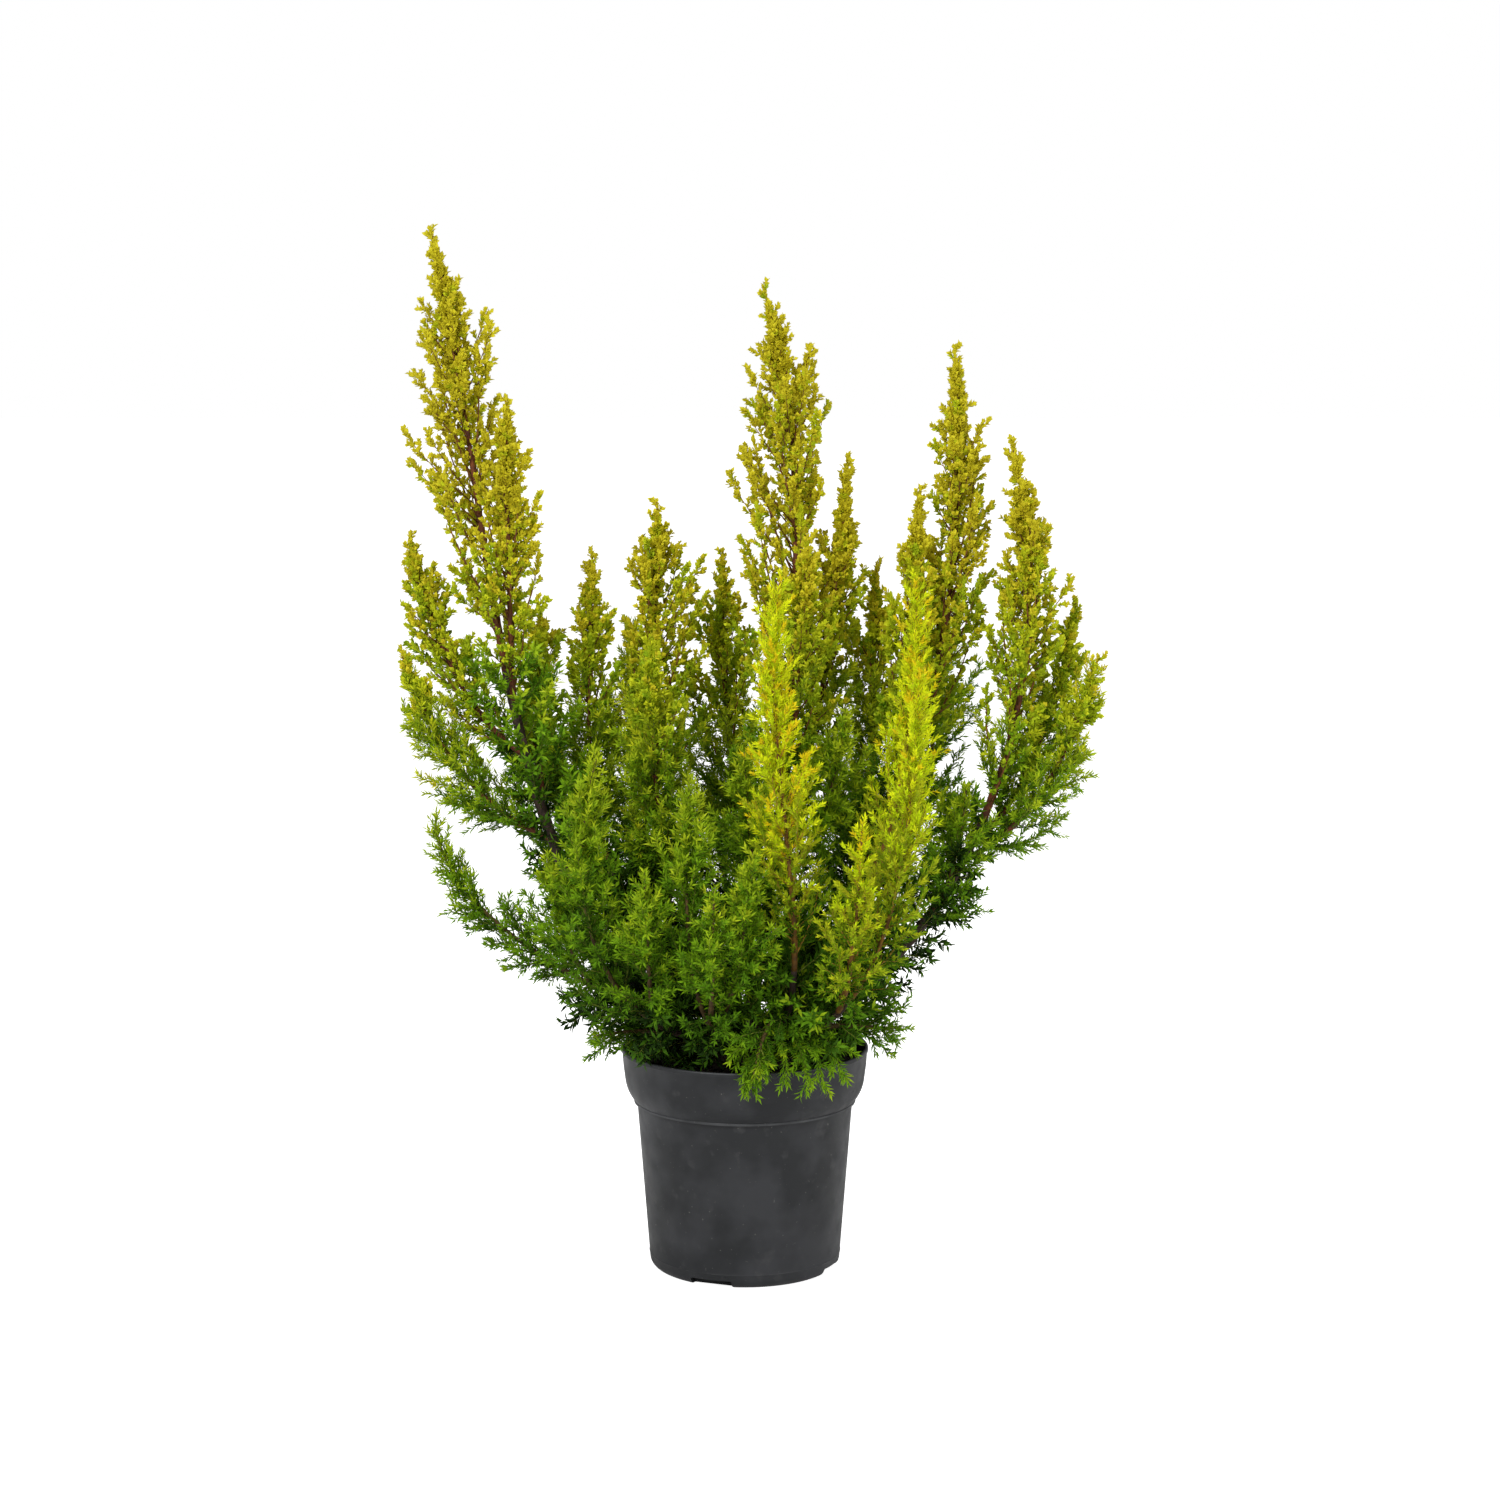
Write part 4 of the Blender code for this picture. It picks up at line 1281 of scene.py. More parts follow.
@dataclass
class Wood:
    """The boughs, each in line with the stem of the spire on its tip, and the smaller spires' stems.

    sunk is how far a bough's foot reaches into the rootstock, and tip_share the share of the solid stem's
    end radius that is kept. relief and lump are shares of the foot's width and of its radius.
    """

    skeleton: Skeleton
    bough_finish: bpy.types.Material
    stem_finishes: dict[Ramp, bpy.types.Material]
    step: float = 4 * MM
    fewest_steps: int = 4
    sunk: float = 5 * MM
    tip_share: float = 0.6
    relief: float = 0.16
    lump: float = 2.2

    def build(self) -> None:
        """Builds every bough and every stem as its own piece."""
        for name, bough in self.skeleton.boughs.items():
            stem = self.skeleton.stems[name]
            whole = Axis(bough.path, -self.sunk, bough.end, bough.foot_radius, bough.end_radius)
            self._limb(name + "_bough_wood", whole, self.bough_finish, (name + "_bough",))
            start = bough.end - GAP
            top = Axis(stem.path, start, stem.end, stem.foot_radius, stem.end_radius * self.tip_share)
            self._limb(name + "_stem_wood", top, self._stem_bark(name), ())
        for flank in FLANKS:
            stem = self.skeleton.stems[flank.name]
            run = Axis(stem.path, 0.0, stem.end, stem.foot_radius, stem.end_radius * self.tip_share)
            self._limb(flank.name + "_stem_wood", run, self._stem_bark(flank.name), ())

    def _stem_bark(self, name: str) -> bpy.types.Material:
        """The bark of one spire's stem."""
        ramp = next(row.ramp for row in (*LIMBS, *FLANKS) if row.name == name)
        return self.stem_finishes[ramp]

    def _limb(
        self, name: str, axis: Axis, finish: bpy.types.Material, stands_for: tuple[str, ...]
    ) -> None:
        """One limb: a curve along its middle line, made round, made a mesh and given the bark's relief.

        Args:
            name: The piece's name.
            axis: Its middle line.
            finish: Its material.
            stands_for: The solids that it is shown in place of.
        """
        count = max(self.fewest_steps, round(axis.length / self.step))
        shares = np.linspace(0, 1, count + 1)
        distances = axis.start + shares * axis.length
        points = axis.path.at(distances)
        below = np.minimum(distances, 0)[:, None]
        points = points + below * axis.path.headings(np.array([axis.path.heading_step]))
        radii = axis.radii(shares)
        Bench.clear_selection()
        bpy.ops.curve.primitive_nurbs_path_add(location=(0, 0, 0))
        limb = bpy.context.object
        limb.data.splines.clear()
        line = limb.data.splines.new("POLY")
        line.points.add(count)
        line.points.foreach_set("co", np.column_stack([points, np.ones(count + 1)]).ravel())
        line.points.foreach_set("radius", radii / radii[0])
        limb.data.bevel_depth = radii[0]
        limb.data.bevel_resolution = 3
        limb.data.use_fill_caps = True
        Bench.take(limb)
        bpy.ops.object.convert(target="MESH")
        Bench.settle(limb, name)
        Bench.close_seams(limb)
        Bench.roughen(limb, self.lump * radii[0], self.relief * radii[0] * 2)
        Bench.take(limb)
        bpy.ops.object.shade_smooth()
        Bench.finish(limb, finish, Slot.BARK, stands_for)


@dataclass(frozen=True)
class NeedleForm:
    """The size and stand of the needles on one kind of shoot.

    spread is the angle between a needle and its shoot at the shoot's foot, closing the share of that angle
    which is lost towards the shoot's end, and pitch the distance between whorls. shoulder is the share of
    its length at which a needle is widest.
    """

    length: float
    width: float
    spread: float
    closing: float
    pitch: float
    shoulder: float = 0.42


NEEDLE_FORMS = {
    Habit.INNER: NeedleForm(8.5 * MM, 2.6 * MM, math.radians(58), 0.3, 3.6 * MM),
    Habit.PLUME: NeedleForm(6.4 * MM, 1.5 * MM, math.radians(54), 0.5, 2.3 * MM),
    Habit.BRIGHT: NeedleForm(5.2 * MM, 1.4 * MM, math.radians(46), 0.5, 1.9 * MM),
    Habit.TUFT: NeedleForm(5.2 * MM, 3.2 * MM, math.radians(46), 0.55, 2.2 * MM, 0.6),
}


def sideways(ways: np.ndarray) -> tuple[np.ndarray, np.ndarray]:
    """Finds the directions across some ways.

    Args:
        ways: Unit directions, as rows.

    Returns:
        Two unit directions square to each way and to each other, as rows.
    """
    steep = 0.9
    helper = np.where(np.abs(ways[:, 2:]) < steep, UP, RIGHT)
    first = unit(np.cross(ways, helper))
    return first, np.cross(ways, first)


def in_order(counts: np.ndarray) -> tuple[np.ndarray, np.ndarray]:
    """Numbers what each of several parents carries.

    Args:
        counts: How many each parent carries.

    Returns:
        The parent's number and the number among its own, for everything carried.
    """
    parents = np.repeat(np.arange(len(counts)), counts)
    return parents, np.arange(len(parents)) - np.repeat(np.cumsum(counts) - counts, counts)


class Table:
    """Arrays that have a row for each of many things."""

    @classmethod
    def joined(cls, groups: list[Table]) -> Table:
        """All rows of several groups as one group."""
        columns = [column.name for column in fields(cls)]
        return cls(*(np.concatenate([getattr(group, column) for group in groups]) for column in columns))


@dataclass
class Twigs(Table):
    """Curved twigs, as arrays with a row for each twig.

    root, bend and tip are the handles of its curve, and owner is the number of its mass. done is how far up
    its spire it stands, or less than 0 on a bough, and light how far it is along its mass's ramp of colours.
    """

    root: np.ndarray
    bend: np.ndarray
    tip: np.ndarray
    owner: np.ndarray
    done: np.ndarray
    habit: np.ndarray
    light: np.ndarray

    @property
    def length(self) -> np.ndarray:
        """The straight distance from root to tip."""
        return np.linalg.norm(self.tip - self.root, axis=1)

    def at(self, shares: np.ndarray | float) -> np.ndarray:
        """The point of each twig at a share of its length, as rows."""
        part = np.broadcast_to(shares, len(self.done))[:, None]
        return self.root * (1 - part) ** 2 + self.bend * 2 * part * (1 - part) + self.tip * part**2

    def ways(self, shares: np.ndarray | float) -> np.ndarray:
        """The unit direction of each twig at a share of its length, as rows."""
        part = np.broadcast_to(shares, len(self.done))[:, None]
        return unit((self.bend - self.root) * (1 - part) + (self.tip - self.bend) * part)

    def pick(self, rows: np.ndarray) -> Twigs:
        """The twigs at some rows, which may repeat."""
        return Twigs(*(getattr(self, column.name)[rows] for column in fields(self)))

    def of_habit(self, *habits: Habit) -> Twigs:
        """The twigs whose needles stand in one of some ways."""
        return self.pick(np.flatnonzero(np.isin(self.habit, habits)))

    def scaled(self, factors: np.ndarray | float) -> Twigs:
        """Draws twigs in towards their roots.

        Args:
            factors: The share of its length that each twig keeps.

        Returns:
            The shorter twigs.
        """
        part = np.broadcast_to(factors, len(self.done))[:, None]
        bend = self.root + (self.bend - self.root) * part
        return replace(self, bend=bend, tip=self.root + (self.tip - self.root) * part)


@dataclass
class Shoots(Table):
    """Straight runs of twig that carry needles, as arrays with a row for each run."""

    start: np.ndarray
    way: np.ndarray
    length: np.ndarray
    owner: np.ndarray
    habit: np.ndarray
    light: np.ndarray

    @staticmethod
    def between(
        twigs: Twigs, low: np.ndarray | float, high: float, light: np.ndarray | float = 0.0
    ) -> Shoots:
        """One run of each twig.

        Args:
            twigs: The twigs.
            low: The share of the length where the run starts.
            high: The share where it ends.
            light: What it adds to the twigs' light.

        Returns:
            The runs.
        """
        start, end = twigs.at(low), twigs.at(high)
        length = np.linalg.norm(end - start, axis=1)
        way = (end - start) / length[:, None]
        return Shoots(start, way, length, twigs.owner, twigs.habit, twigs.light + light)


@dataclass(frozen=True)
class Growth:
    """How side shoots stand on their parent twigs: their pitch, their stretch, their lean and their length.

    lean is in degrees, full is the length at the parent's foot and fall the share of it that is lost towards
    the parent's tip.
    """

    pitch: float
    first: float
    last: float
    lean: tuple[float, float]
    full: float
    fall: float


@dataclass(frozen=True)
class Climb:
    """A value that climbs from 0 to its top over a stretch of height."""

    start: float
    over: float
    top: float = 1.0

    def at(self, heights: np.ndarray) -> np.ndarray:
        """The value at some heights."""
        return self.top * np.clip((heights - self.start) / self.over, 0, 1)


@dataclass
class Foliage:
    """All twigs and needles, grown from the stems by the rule of the solids and carried further.

    The fields from first_spray to unevenness are the solids' own rule. Stretches and places are shares of
    a stem's or a twig's length. The climbs say how tufts set in and colours brighten with height, the
    lights how colours brighten along a spire, and the scatters are the spans of what is left to chance.
    The brightening is partly the foliage's own gold and lime, and partly shade painted on the lower needles.
    """

    skeleton: Skeleton
    crown: Crown
    finishes: dict[Grade, bpy.types.Material]
    red_wood: bpy.types.Material
    ochre_wood: bpy.types.Material
    green_wood: bpy.types.Material
    seed: int = 5
    first_spray: float = 0.06
    last_spray: float = 0.96
    pitch_low: float = 27 * MM
    pitch_high: float = 22 * MM
    lean_low: float = math.radians(43)
    lean_high: float = math.radians(24)
    widest_share: float = 0.3
    foot_fullness: float = 0.75
    tip_fullness: float = 0.16
    taper_power: float = 1.2
    unevenness: float = 0.1
    finer: int = 5
    lime_finer: int = 6
    finer_scatter: tuple[float, float] = (0.2, 0.4)
    finer_sizes: tuple[float, float] = (0.62, 1.0)
    last_place: float = 0.985
    tip_least: float = 0.22
    stem_pieces: int = 14
    bow: float = 0.10
    tries: tuple[float, ...] = (1.0, 0.8, 0.62, 0.46, 0.34)
    tip_runs: dict[Ramp, float] = field(default_factory=lambda: {GOLD: 0.62, LIME: 0.33, GREEN: 0.36})
    tried_places: tuple[float, ...] = (1.0, 0.72, 0.45)
    shortest: float = 9 * MM
    leader_pitch: float = 28 * MM
    lime_leader_pitch: float = 14 * MM
    leader_stretch: tuple[float, float] = (0.03, 0.76)
    leader_scatter: float = 0.02
    leader_rise: tuple[float, float] = (0.22, 0.36)
    leader_climb: tuple[float, float] = (40 * MM, 110 * MM)
    leader_top: float = 0.96
    leader_reach: tuple[float, float] = (0.60, 1.0)
    leader_bend: tuple[float, float] = (0.38, 0.78)
    tuft_length: tuple[float, float] = (5.5 * MM, 8.5 * MM)
    end_tuft: float = 17 * MM
    top_stretch: tuple[float, float] = (0.04, 1.0)
    tufted_top: float = 0.42
    bare_below: float = 0.6
    last_end: float = 0.96
    bough_pitch: float = 3.8 * MM
    bough_stretch: tuple[float, float] = (0.10, 0.98)
    bough_lean: tuple[float, float] = (math.radians(36), math.radians(62))
    bough_twig: tuple[float, float] = (28 * MM, 62 * MM)
    bough_edge: float = 0.72
    bough_edge_top: tuple[float, float, float] = (0.46, 0.10, 0.35)
    bark_gap: float = 1.2 * MM
    sprig_light: float = 0.5
    most_branches: int = 22
    branch_share: float = 0.42
    branch_more: float = 3 * MM
    branch_scatter: tuple[float, float] = (0.75, 1.15)
    branch_gain: float = 0.12
    light_scatter: tuple[float, float] = (0.07, 0.03)
    tuft_climb: Climb = Climb(0.40, 0.10)
    lime_climb: Climb = Climb(0.10, 0.50)
    green_climb: Climb = Climb(0.18, 0.25, 0.25)
    inner_climb: Climb = Climb(0.18, 0.22, 0.20)
    upper_climb: Climb = Climb(0.34, 0.14, 0.30)
    gold_light: tuple[float, float] = (0.14, 0.67)
    green_light: tuple[float, float] = (0.22, 0.48)
    lime_light: float = 0.14
    amber_from: float = 0.62
    on_leaders: Growth = Growth(6.0 * MM, 0.10, 0.97, (30, 48), 24 * MM, 0.55)
    on_sides: Growth = Growth(5.6 * MM, 0.20, 0.96, (30, 48), 13 * MM, 0.55)
    on_tufted: Growth = Growth(5.0 * MM, 0.16, 0.94, (24, 46), 8 * MM, 0.0)
    on_tops: Growth = Growth(4.2 * MM, 0.02, 0.98, (26, 48), 11 * MM, 0.2)
    on_tufted_tops: Growth = Growth(5.4 * MM, 0.02, 0.98, (22, 42), 8 * MM, 0.0)
    per_whorl: int = 3
    first_whorl: float = 0.35
    whorl_turn: float = 1.05
    turn_scatter: float = 0.25
    spread_scatter: tuple[float, float] = (0.8, 1.2)
    length_scatter: tuple[float, float] = (0.8, 1.15)
    width_scatter: tuple[float, float] = (0.85, 1.15)
    roll_scatter: float = 0.5
    curl: float = 0.05
    keel: float = 0.3
    most_triangles: int = 190_000

    def __post_init__(self) -> None:
        """Sets the chance, and the ramp of each mass."""
        self.chance = np.random.default_rng(self.seed)
        self.rows = [*LIMBS, *FLANKS]
        self.ramp = np.array([row.ramp for row in self.rows])

    def build(self) -> None:
        """Grows the twigs, then the small shoots on them, then the needles on all of these."""
        leaders = self._fitted(self._leaders(), 3 * self.shortest)
        sides = self._fitted(self._side_twigs(), self.shortest)
        on_boughs = self._fitted(self._bough_twigs(), self.shortest)
        sprigs = self._fitted(self._sprigs(), self.shortest)
        sprigs = replace(sprigs, habit=np.full(len(sprigs.done), Habit.PLUME))
        tops = self._stem_tops()
        growths = (
            (Twigs.joined([leaders.of_habit(Habit.PLUME, Habit.BRIGHT), sprigs]), self.on_leaders),
            (sides.of_habit(Habit.PLUME, Habit.BRIGHT), self.on_sides),
            (Twigs.joined([leaders, sides]).of_habit(Habit.TUFT), self.on_tufted),
            (on_boughs, self.on_sides),
            (tops.of_habit(Habit.PLUME, Habit.BRIGHT), self.on_tops),
            (tops.of_habit(Habit.TUFT), self.on_tufted_tops),
        )
        small = Twigs.joined(
            [self._fitted(self._branches(parents, growth), 0.0) for parents, growth in growths]
        )
        kinds = {"leaders": leaders, "sides": sides, "on boughs": on_boughs, "small": small}
        for name, group in kinds.items():
            LOG.info("twigs, %s: %d, %.1f m in all", name, len(group.done), group.length.sum())
        runs = [self._own_runs(group) for group in (leaders, sides, on_boughs, sprigs)]
        # The inner half of each small shoot takes darker grades as painted shade, the outer half lighter
        # ones.
        small_runs = [Shoots.between(small, 0.0, 0.5, -0.07), Shoots.between(small, 0.5, 1.0, 0.10)]
        shoots = Shoots.joined([*runs, *small_runs, self._top_runs(tops)])
        self._needles(shoots)
        self._twig_wood(leaders, Twigs.joined([sides, on_boughs, sprigs]), small)

    def _fullness(self, share: np.ndarray) -> np.ndarray:
        """How much of its widest half-width a spire has.

        Args:
            share: Places along the stem, from its foot at 0 to its tip at 1.

        Returns:
            The share of the half-width at each place.
        """
        low = 1 - (1 - self.foot_fullness) * (1 - share / self.widest_share) ** 2
        above = np.clip((share - self.widest_share) / (1 - self.widest_share), 0, 1)
        high = 1 - (1 - self.tip_fullness) * above**self.taper_power
        return np.where(share < self.widest_share, low, high)

    def _near_tip(self, row: Limb | Flank, share: np.ndarray) -> np.ndarray:
        """How much of its width a spire keeps at some shares of its stem, as its end is a slim point."""
        return np.clip((1 - share) / self.tip_runs[row.ramp], self.tip_least, 1)

    def _slots(self, number: int) -> tuple[np.ndarray, ...]:
        """Where side twigs leave a stem: the solids' own places, and finer ones between them.

        Args:
            number: The mass's number.

        Returns:
            The share along the stem, the turn about it and the share of the full length, for each twig.
        """
        axis = self.skeleton.stems[self.crown.names[number]]
        finer = self.lime_finer if self.rows[number].ramp is LIME else self.finer
        along, about = self.finer_scatter
        done, count = self.first_spray, 0
        turn = number * GOLDEN_ANGLE / 2
        found = []
        while done < self.last_spray:
            pitch = (self.pitch_low + done * (self.pitch_high - self.pitch_low)) / axis.length
            step = (7 * count + 3 * number) % 5
            found.append((done, turn, 1 + self.unevenness * (step / 2 - 1)))
            for extra in range(1, finer):
                place = done + pitch * (extra + self.chance.uniform(-along, along)) / finer
                around = turn + extra * 2 * math.pi / finer + self.chance.uniform(-about, about)
                found.append((place, around, self.chance.uniform(*self.finer_sizes)))
            turn += GOLDEN_ANGLE
            count += 1
            done += pitch
        places, turns, sizes = (np.array(column) for column in zip(*found))
        return np.minimum(places, self.last_place), turns, sizes

    @staticmethod
    def _outward(along: np.ndarray, turns: np.ndarray) -> np.ndarray:
        """Directions square to a stem, turned about it from the X axis as the solids' sprays are."""
        across = unit(RIGHT - along * along[:, :1])
        return across * np.cos(turns)[:, None] + np.cross(along, across) * np.sin(turns)[:, None]

    def _twigs(
        self, number: int, done: np.ndarray, root: np.ndarray, bend: np.ndarray, tip: np.ndarray
    ) -> Twigs:
        """Twigs of one mass, with the habit and the light that their places give them.

        Args:
            number: The mass's number.
            done: How far up the spire each twig stands.
            root: The twigs' roots, as rows.
            bend: Their middle handles.
            tip: Their tips.

        Returns:
            The twigs.
        """
        owner = np.full(len(done), number)
        habit = self._habits(owner, done, tip)
        return Twigs(root, bend, tip, owner, done, habit, self._light(owner, done, tip))

    def _side_twigs(self) -> Twigs:
        """The twigs that stand round each stem, as long as the spire is wide there.

        Returns:
            The twigs at their full length.
        """
        groups = []
        for number, row in enumerate(self.rows):
            axis = self.skeleton.stems[row.name]
            done, turns, sizes = self._slots(number)
            root, along = axis.at(done), axis.headings(done)
            lean = (self.lean_low + done * (self.lean_high - self.lean_low))[:, None]
            outward = self._outward(along, turns)
            heading = along * np.cos(lean) + outward * np.sin(lean)
            wide = sizes * self._near_tip(row, done) * row.width * MM * self._fullness(done)
            length = wide[:, None] / np.sin(lean)
            bend = root + (heading * 0.5 + outward * self.bow) * length
            groups.append(self._twigs(number, done, root, bend, root + heading * length))
        return Twigs.joined(groups)

    def _leaders(self) -> Twigs:
        """Long side twigs that swing out and then rise beside their stem, which make a spire many-pointed.

        Returns:
            The twigs at their full length.
        """
        groups = []
        for number, row in enumerate(self.rows):
            axis = self.skeleton.stems[row.name]
            pitch = self.lime_leader_pitch if row.ramp is LIME else self.leader_pitch
            count = max(2, round(axis.length / pitch))
            done = np.linspace(*self.leader_stretch, count)
            done = done + self.chance.uniform(-self.leader_scatter, self.leader_scatter, count)
            turns = number + np.arange(count) * GOLDEN_ANGLE
            rise = np.clip(self.chance.uniform(*self.leader_rise, count) * axis.length, *self.leader_climb)
            top = np.minimum(done + rise / axis.length, self.leader_top)
            reach = self.chance.uniform(*self.leader_reach, count) * row.width * MM * self._fullness(top)
            reach = reach * self._near_tip(row, top)
            root, along = axis.at(done), axis.headings(done)
            tip = axis.at(top) + self._outward(axis.headings(top), turns) * reach[:, None]
            outward = self._outward(along, turns)
            bend = root + along * (self.leader_bend[0] * rise)[:, None]
            bend = bend + outward * (self.leader_bend[1] * reach)[:, None]
            groups.append(self._twigs(number, done, root, bend, tip))
        return Twigs.joined(groups)

    def _bough_twigs(self) -> Twigs:
        """Twigs along the boughs, which fill the heart of the clump.

        Returns:
            The twigs at their full length.
        """
        groups = []
        top, fade, least = self.bough_edge_top
        for number, axis in enumerate(self.skeleton.boughs.values()):
            count = int(axis.length / self.bough_pitch)
            done = np.linspace(*self.bough_stretch, count)
            root, along = axis.at(done), axis.headings(done)
            outward = self._outward(along, np.arange(count) * GOLDEN_ANGLE + number)
            lean = self.chance.uniform(*self.bough_lean, count)[:, None]
            heading = along * np.cos(lean) + outward * np.sin(lean)
            away = np.clip((outward * unit(root * LEVEL)).sum(1), 0, 1)
            edge = self.bough_edge * np.clip((top - root[:, 2]) / fade, least, 1)
            length = (self.chance.uniform(*self.bough_twig, count) * (1 - edge * away))[:, None]
            start = root + outward * (axis.radii(done) + self.bark_gap)[:, None]
            bend = start + (heading * 0.5 + outward * self.bow) * length
            groups.append(self._twigs(number, done + ON_BOUGH, start, bend, start + heading * length))
        return Twigs.joined(groups)

    def _sprigs(self) -> Twigs:
        """The low twigs that hang over the pot's rim, counted with the twigs on boughs.

        Returns:
            The twigs at their full length.
        """
        groups = []
        for sprig in SPRIGS:
            number = self.crown.names.index(sprig.mass)
            bough = self.skeleton.boughs[sprig.limb]
            root = bough.at(np.array([sprig.at]))
            bend, tip = (np.array([place]) * MM for place in (sprig.bend, sprig.tip))
            root = root + unit((bend - root) * LEVEL) * bough.foot_radius
            made = self._twigs(number, np.array([sprig.at + ON_BOUGH]), root, bend, tip)
            groups.append(replace(made, light=np.array([self.sprig_light])))
        return Twigs.joined(groups)

    def _stem_tops(self) -> Twigs:
        """Each stem in short pieces that carry small shoots: all of a plume's, only a tufted one's top.

        Returns:
            The pieces, as twigs.
        """
        groups = []
        for number, row in enumerate(self.rows):
            axis = self.skeleton.stems[row.name]
            shares = np.linspace(*self.top_stretch, self.stem_pieces + 1)
            edges = axis.at(shares)
            done = (shares[:-1] + shares[1:]) / 2
            made = self._twigs(number, done, edges[:-1], (edges[:-1] + edges[1:]) / 2, edges[1:])
            kept = (made.habit != Habit.TUFT) | (done > self.tufted_top)
            groups.append(made.pick(np.flatnonzero(kept)))
        return Twigs.joined(groups)

    def _branches(self, parents: Twigs, growth: Growth) -> Twigs:
        """Small shoots round their parents, by the golden angle.

        Args:
            parents: The twigs that carry them.
            growth: How they stand.

        Returns:
            The shoots.
        """
        span = growth.last - growth.first
        counts = np.round(span * parents.length / growth.pitch)
        counts = np.clip(counts, 1, self.most_branches).astype(int)
        rows, order = in_order(counts)
        share = growth.first + span * (order + 0.5) / counts[rows]
        many = parents.pick(rows)
        root, along = many.at(share), many.ways(share)
        turns = order * GOLDEN_ANGLE + self.chance.uniform(0, 2 * math.pi, len(counts))[rows]
        outward = self._outward(along, turns)
        least, most = (math.radians(angle) for angle in growth.lean)
        lean = self.chance.uniform(least, most, len(rows))[:, None]
        heading = along * np.cos(lean) + outward * np.sin(lean)
        full = np.minimum(growth.full, self.branch_share * many.length + self.branch_more)
        length = full * (1.1 - growth.fall * share) * self.chance.uniform(*self.branch_scatter, len(rows))
        tuft = self.chance.uniform(*self.tuft_length, len(rows))
        length = np.where(many.habit == Habit.TUFT, tuft, length)[:, None]
        bend = root + (heading * 0.5 + outward * self.bow) * length
        # Shoots near the parent's foot take darker grades as painted shade, those near its end lighter ones.
        light = many.light + self.branch_gain * (share - 0.5)
        light = light + self.chance.normal(0, self.light_scatter[1], len(rows))
        return replace(many, root=root, bend=bend, tip=root + heading * length, light=light)

    def _fitted(self, twigs: Twigs, shortest: float) -> Twigs:
        """Cuts twigs short, or leaves them out, where they would leave their mass's space.

        Args:
            twigs: The twigs at their full length.
            shortest: The least length that one may have.

        Returns:
            The twigs that are kept.
        """
        kept = np.zeros(len(twigs.done))
        for part in self.tries:
            for on_bough in (False, True):
                rows = np.flatnonzero(
                    (kept == 0) & ((twigs.done < 0) == on_bough) & (twigs.length * part > shortest)
                )
                if not len(rows):
                    continue
                tried = twigs.pick(rows).scaled(part)
                good = np.ones(len(rows), bool)
                for share in self.tried_places:
                    good &= self.crown.holds(tried.owner, tried.at(share), on_bough)
                kept[rows[good]] = part
        rows = np.flatnonzero(kept)
        return twigs.pick(rows).scaled(kept[rows])

    def _habits(self, owner: np.ndarray, done: np.ndarray, tip: np.ndarray) -> np.ndarray:
        """Plumes below, tufts on the lime spires' tops, bright plumes on the gold ones, rough ones inside.

        Args:
            owner: The numbers of the twigs' masses.
            done: How far up its spire each twig stands.
            tip: The twigs' tips, as rows.

        Returns:
            The habit of each twig.
        """
        ramp = self.ramp[owner]
        high = self.tuft_climb.at(tip[:, 2])
        tuft = (ramp == LIME) & (self.chance.uniform(size=len(high)) < high)
        habit = np.where(ramp == GOLD, Habit.BRIGHT, Habit.PLUME)
        habit = np.where(tuft, Habit.TUFT, habit)
        return np.where(done < 0, Habit.INNER, habit)

    def _light(self, owner: np.ndarray, done: np.ndarray, tip: np.ndarray) -> np.ndarray:
        """How far twigs are along their mass's ramp of colours, from 0 in painted shade to 1 at a bright
        tip.

        Args:
            owner: The numbers of the twigs' masses.
            done: How far up its spire each twig stands.
            tip: The twigs' tips, as rows.

        Returns:
            The light of each twig.
        """
        # The ramps climb with height: partly the foliage's own gold and lime, partly painted shade lower
        # down.
        height = tip[:, 2]
        ripe = np.array([row.ripe for row in self.rows])[owner]
        gold = self.gold_light[0] + self.gold_light[1] * np.clip(done / ripe, 0, 1)
        lime = self.lime_climb.at(height) + self.lime_light * (done - 0.5)
        green = self.green_light[0] + self.green_light[1] * done + self.green_climb.at(height)
        light = np.choose(self.ramp[owner], (gold, lime, green))
        # Twigs on boughs, deep in the clump, take the darkest grades: painted shade, a little lighter higher
        # up.
        inner_shade = self.inner_climb.at(height) + self.upper_climb.at(height)
        scatter = self.chance.normal(0, self.light_scatter[0], len(light))
        return np.where(done < 0, inner_shade, light) + scatter

    def _own_runs(self, twigs: Twigs) -> Shoots:
        """The stretches of twigs that carry needles themselves: nearly all of a plume, only a tuft's end.

        Args:
            twigs: The twigs.

        Returns:
            The stretches, darker near the stem as painted shade, and amber there on a bright twig.
        """
        plumes = twigs.of_habit(Habit.INNER, Habit.PLUME, Habit.BRIGHT)
        tufts = twigs.of_habit(Habit.TUFT)
        # Near the stem: darker grades as painted shade, or amber, the twig's own colour, on a bright gold
        # twig.
        near_stem_amber_and_shade = np.where((plumes.habit == Habit.BRIGHT) & (plumes.light > self.amber_from), 0.20, -0.20)
        groups = [
            Shoots.between(plumes, 0.12, 0.32, near_stem_amber_and_shade),
            Shoots.between(plumes, 0.32, 0.50, -0.14),
            Shoots.between(plumes, 0.50, 0.76, -0.05),
            Shoots.between(plumes, 0.76, 1.00, 0.08),
        ]
        groups.append(Shoots.between(tufts, np.maximum(0.3, 1 - self.end_tuft / tufts.length), 1.0, 0.04))
        return Shoots.joined(groups)

    def _top_runs(self, tops: Twigs) -> Shoots:
        """The stretches of the stems themselves that carry needles: plumes' tops, and every last end.

        Args:
            tops: The stems in short pieces.

        Returns:
            The stretches.
        """
        last = tops.done > self.last_end
        leafy = ((tops.habit != Habit.TUFT) & (tops.done > self.bare_below)) | last
        tops = tops.pick(np.flatnonzero(leafy))
        return Shoots.between(tops, 0.0, 1.0, np.where(tops.habit == Habit.BRIGHT, 0.22, 0.04))

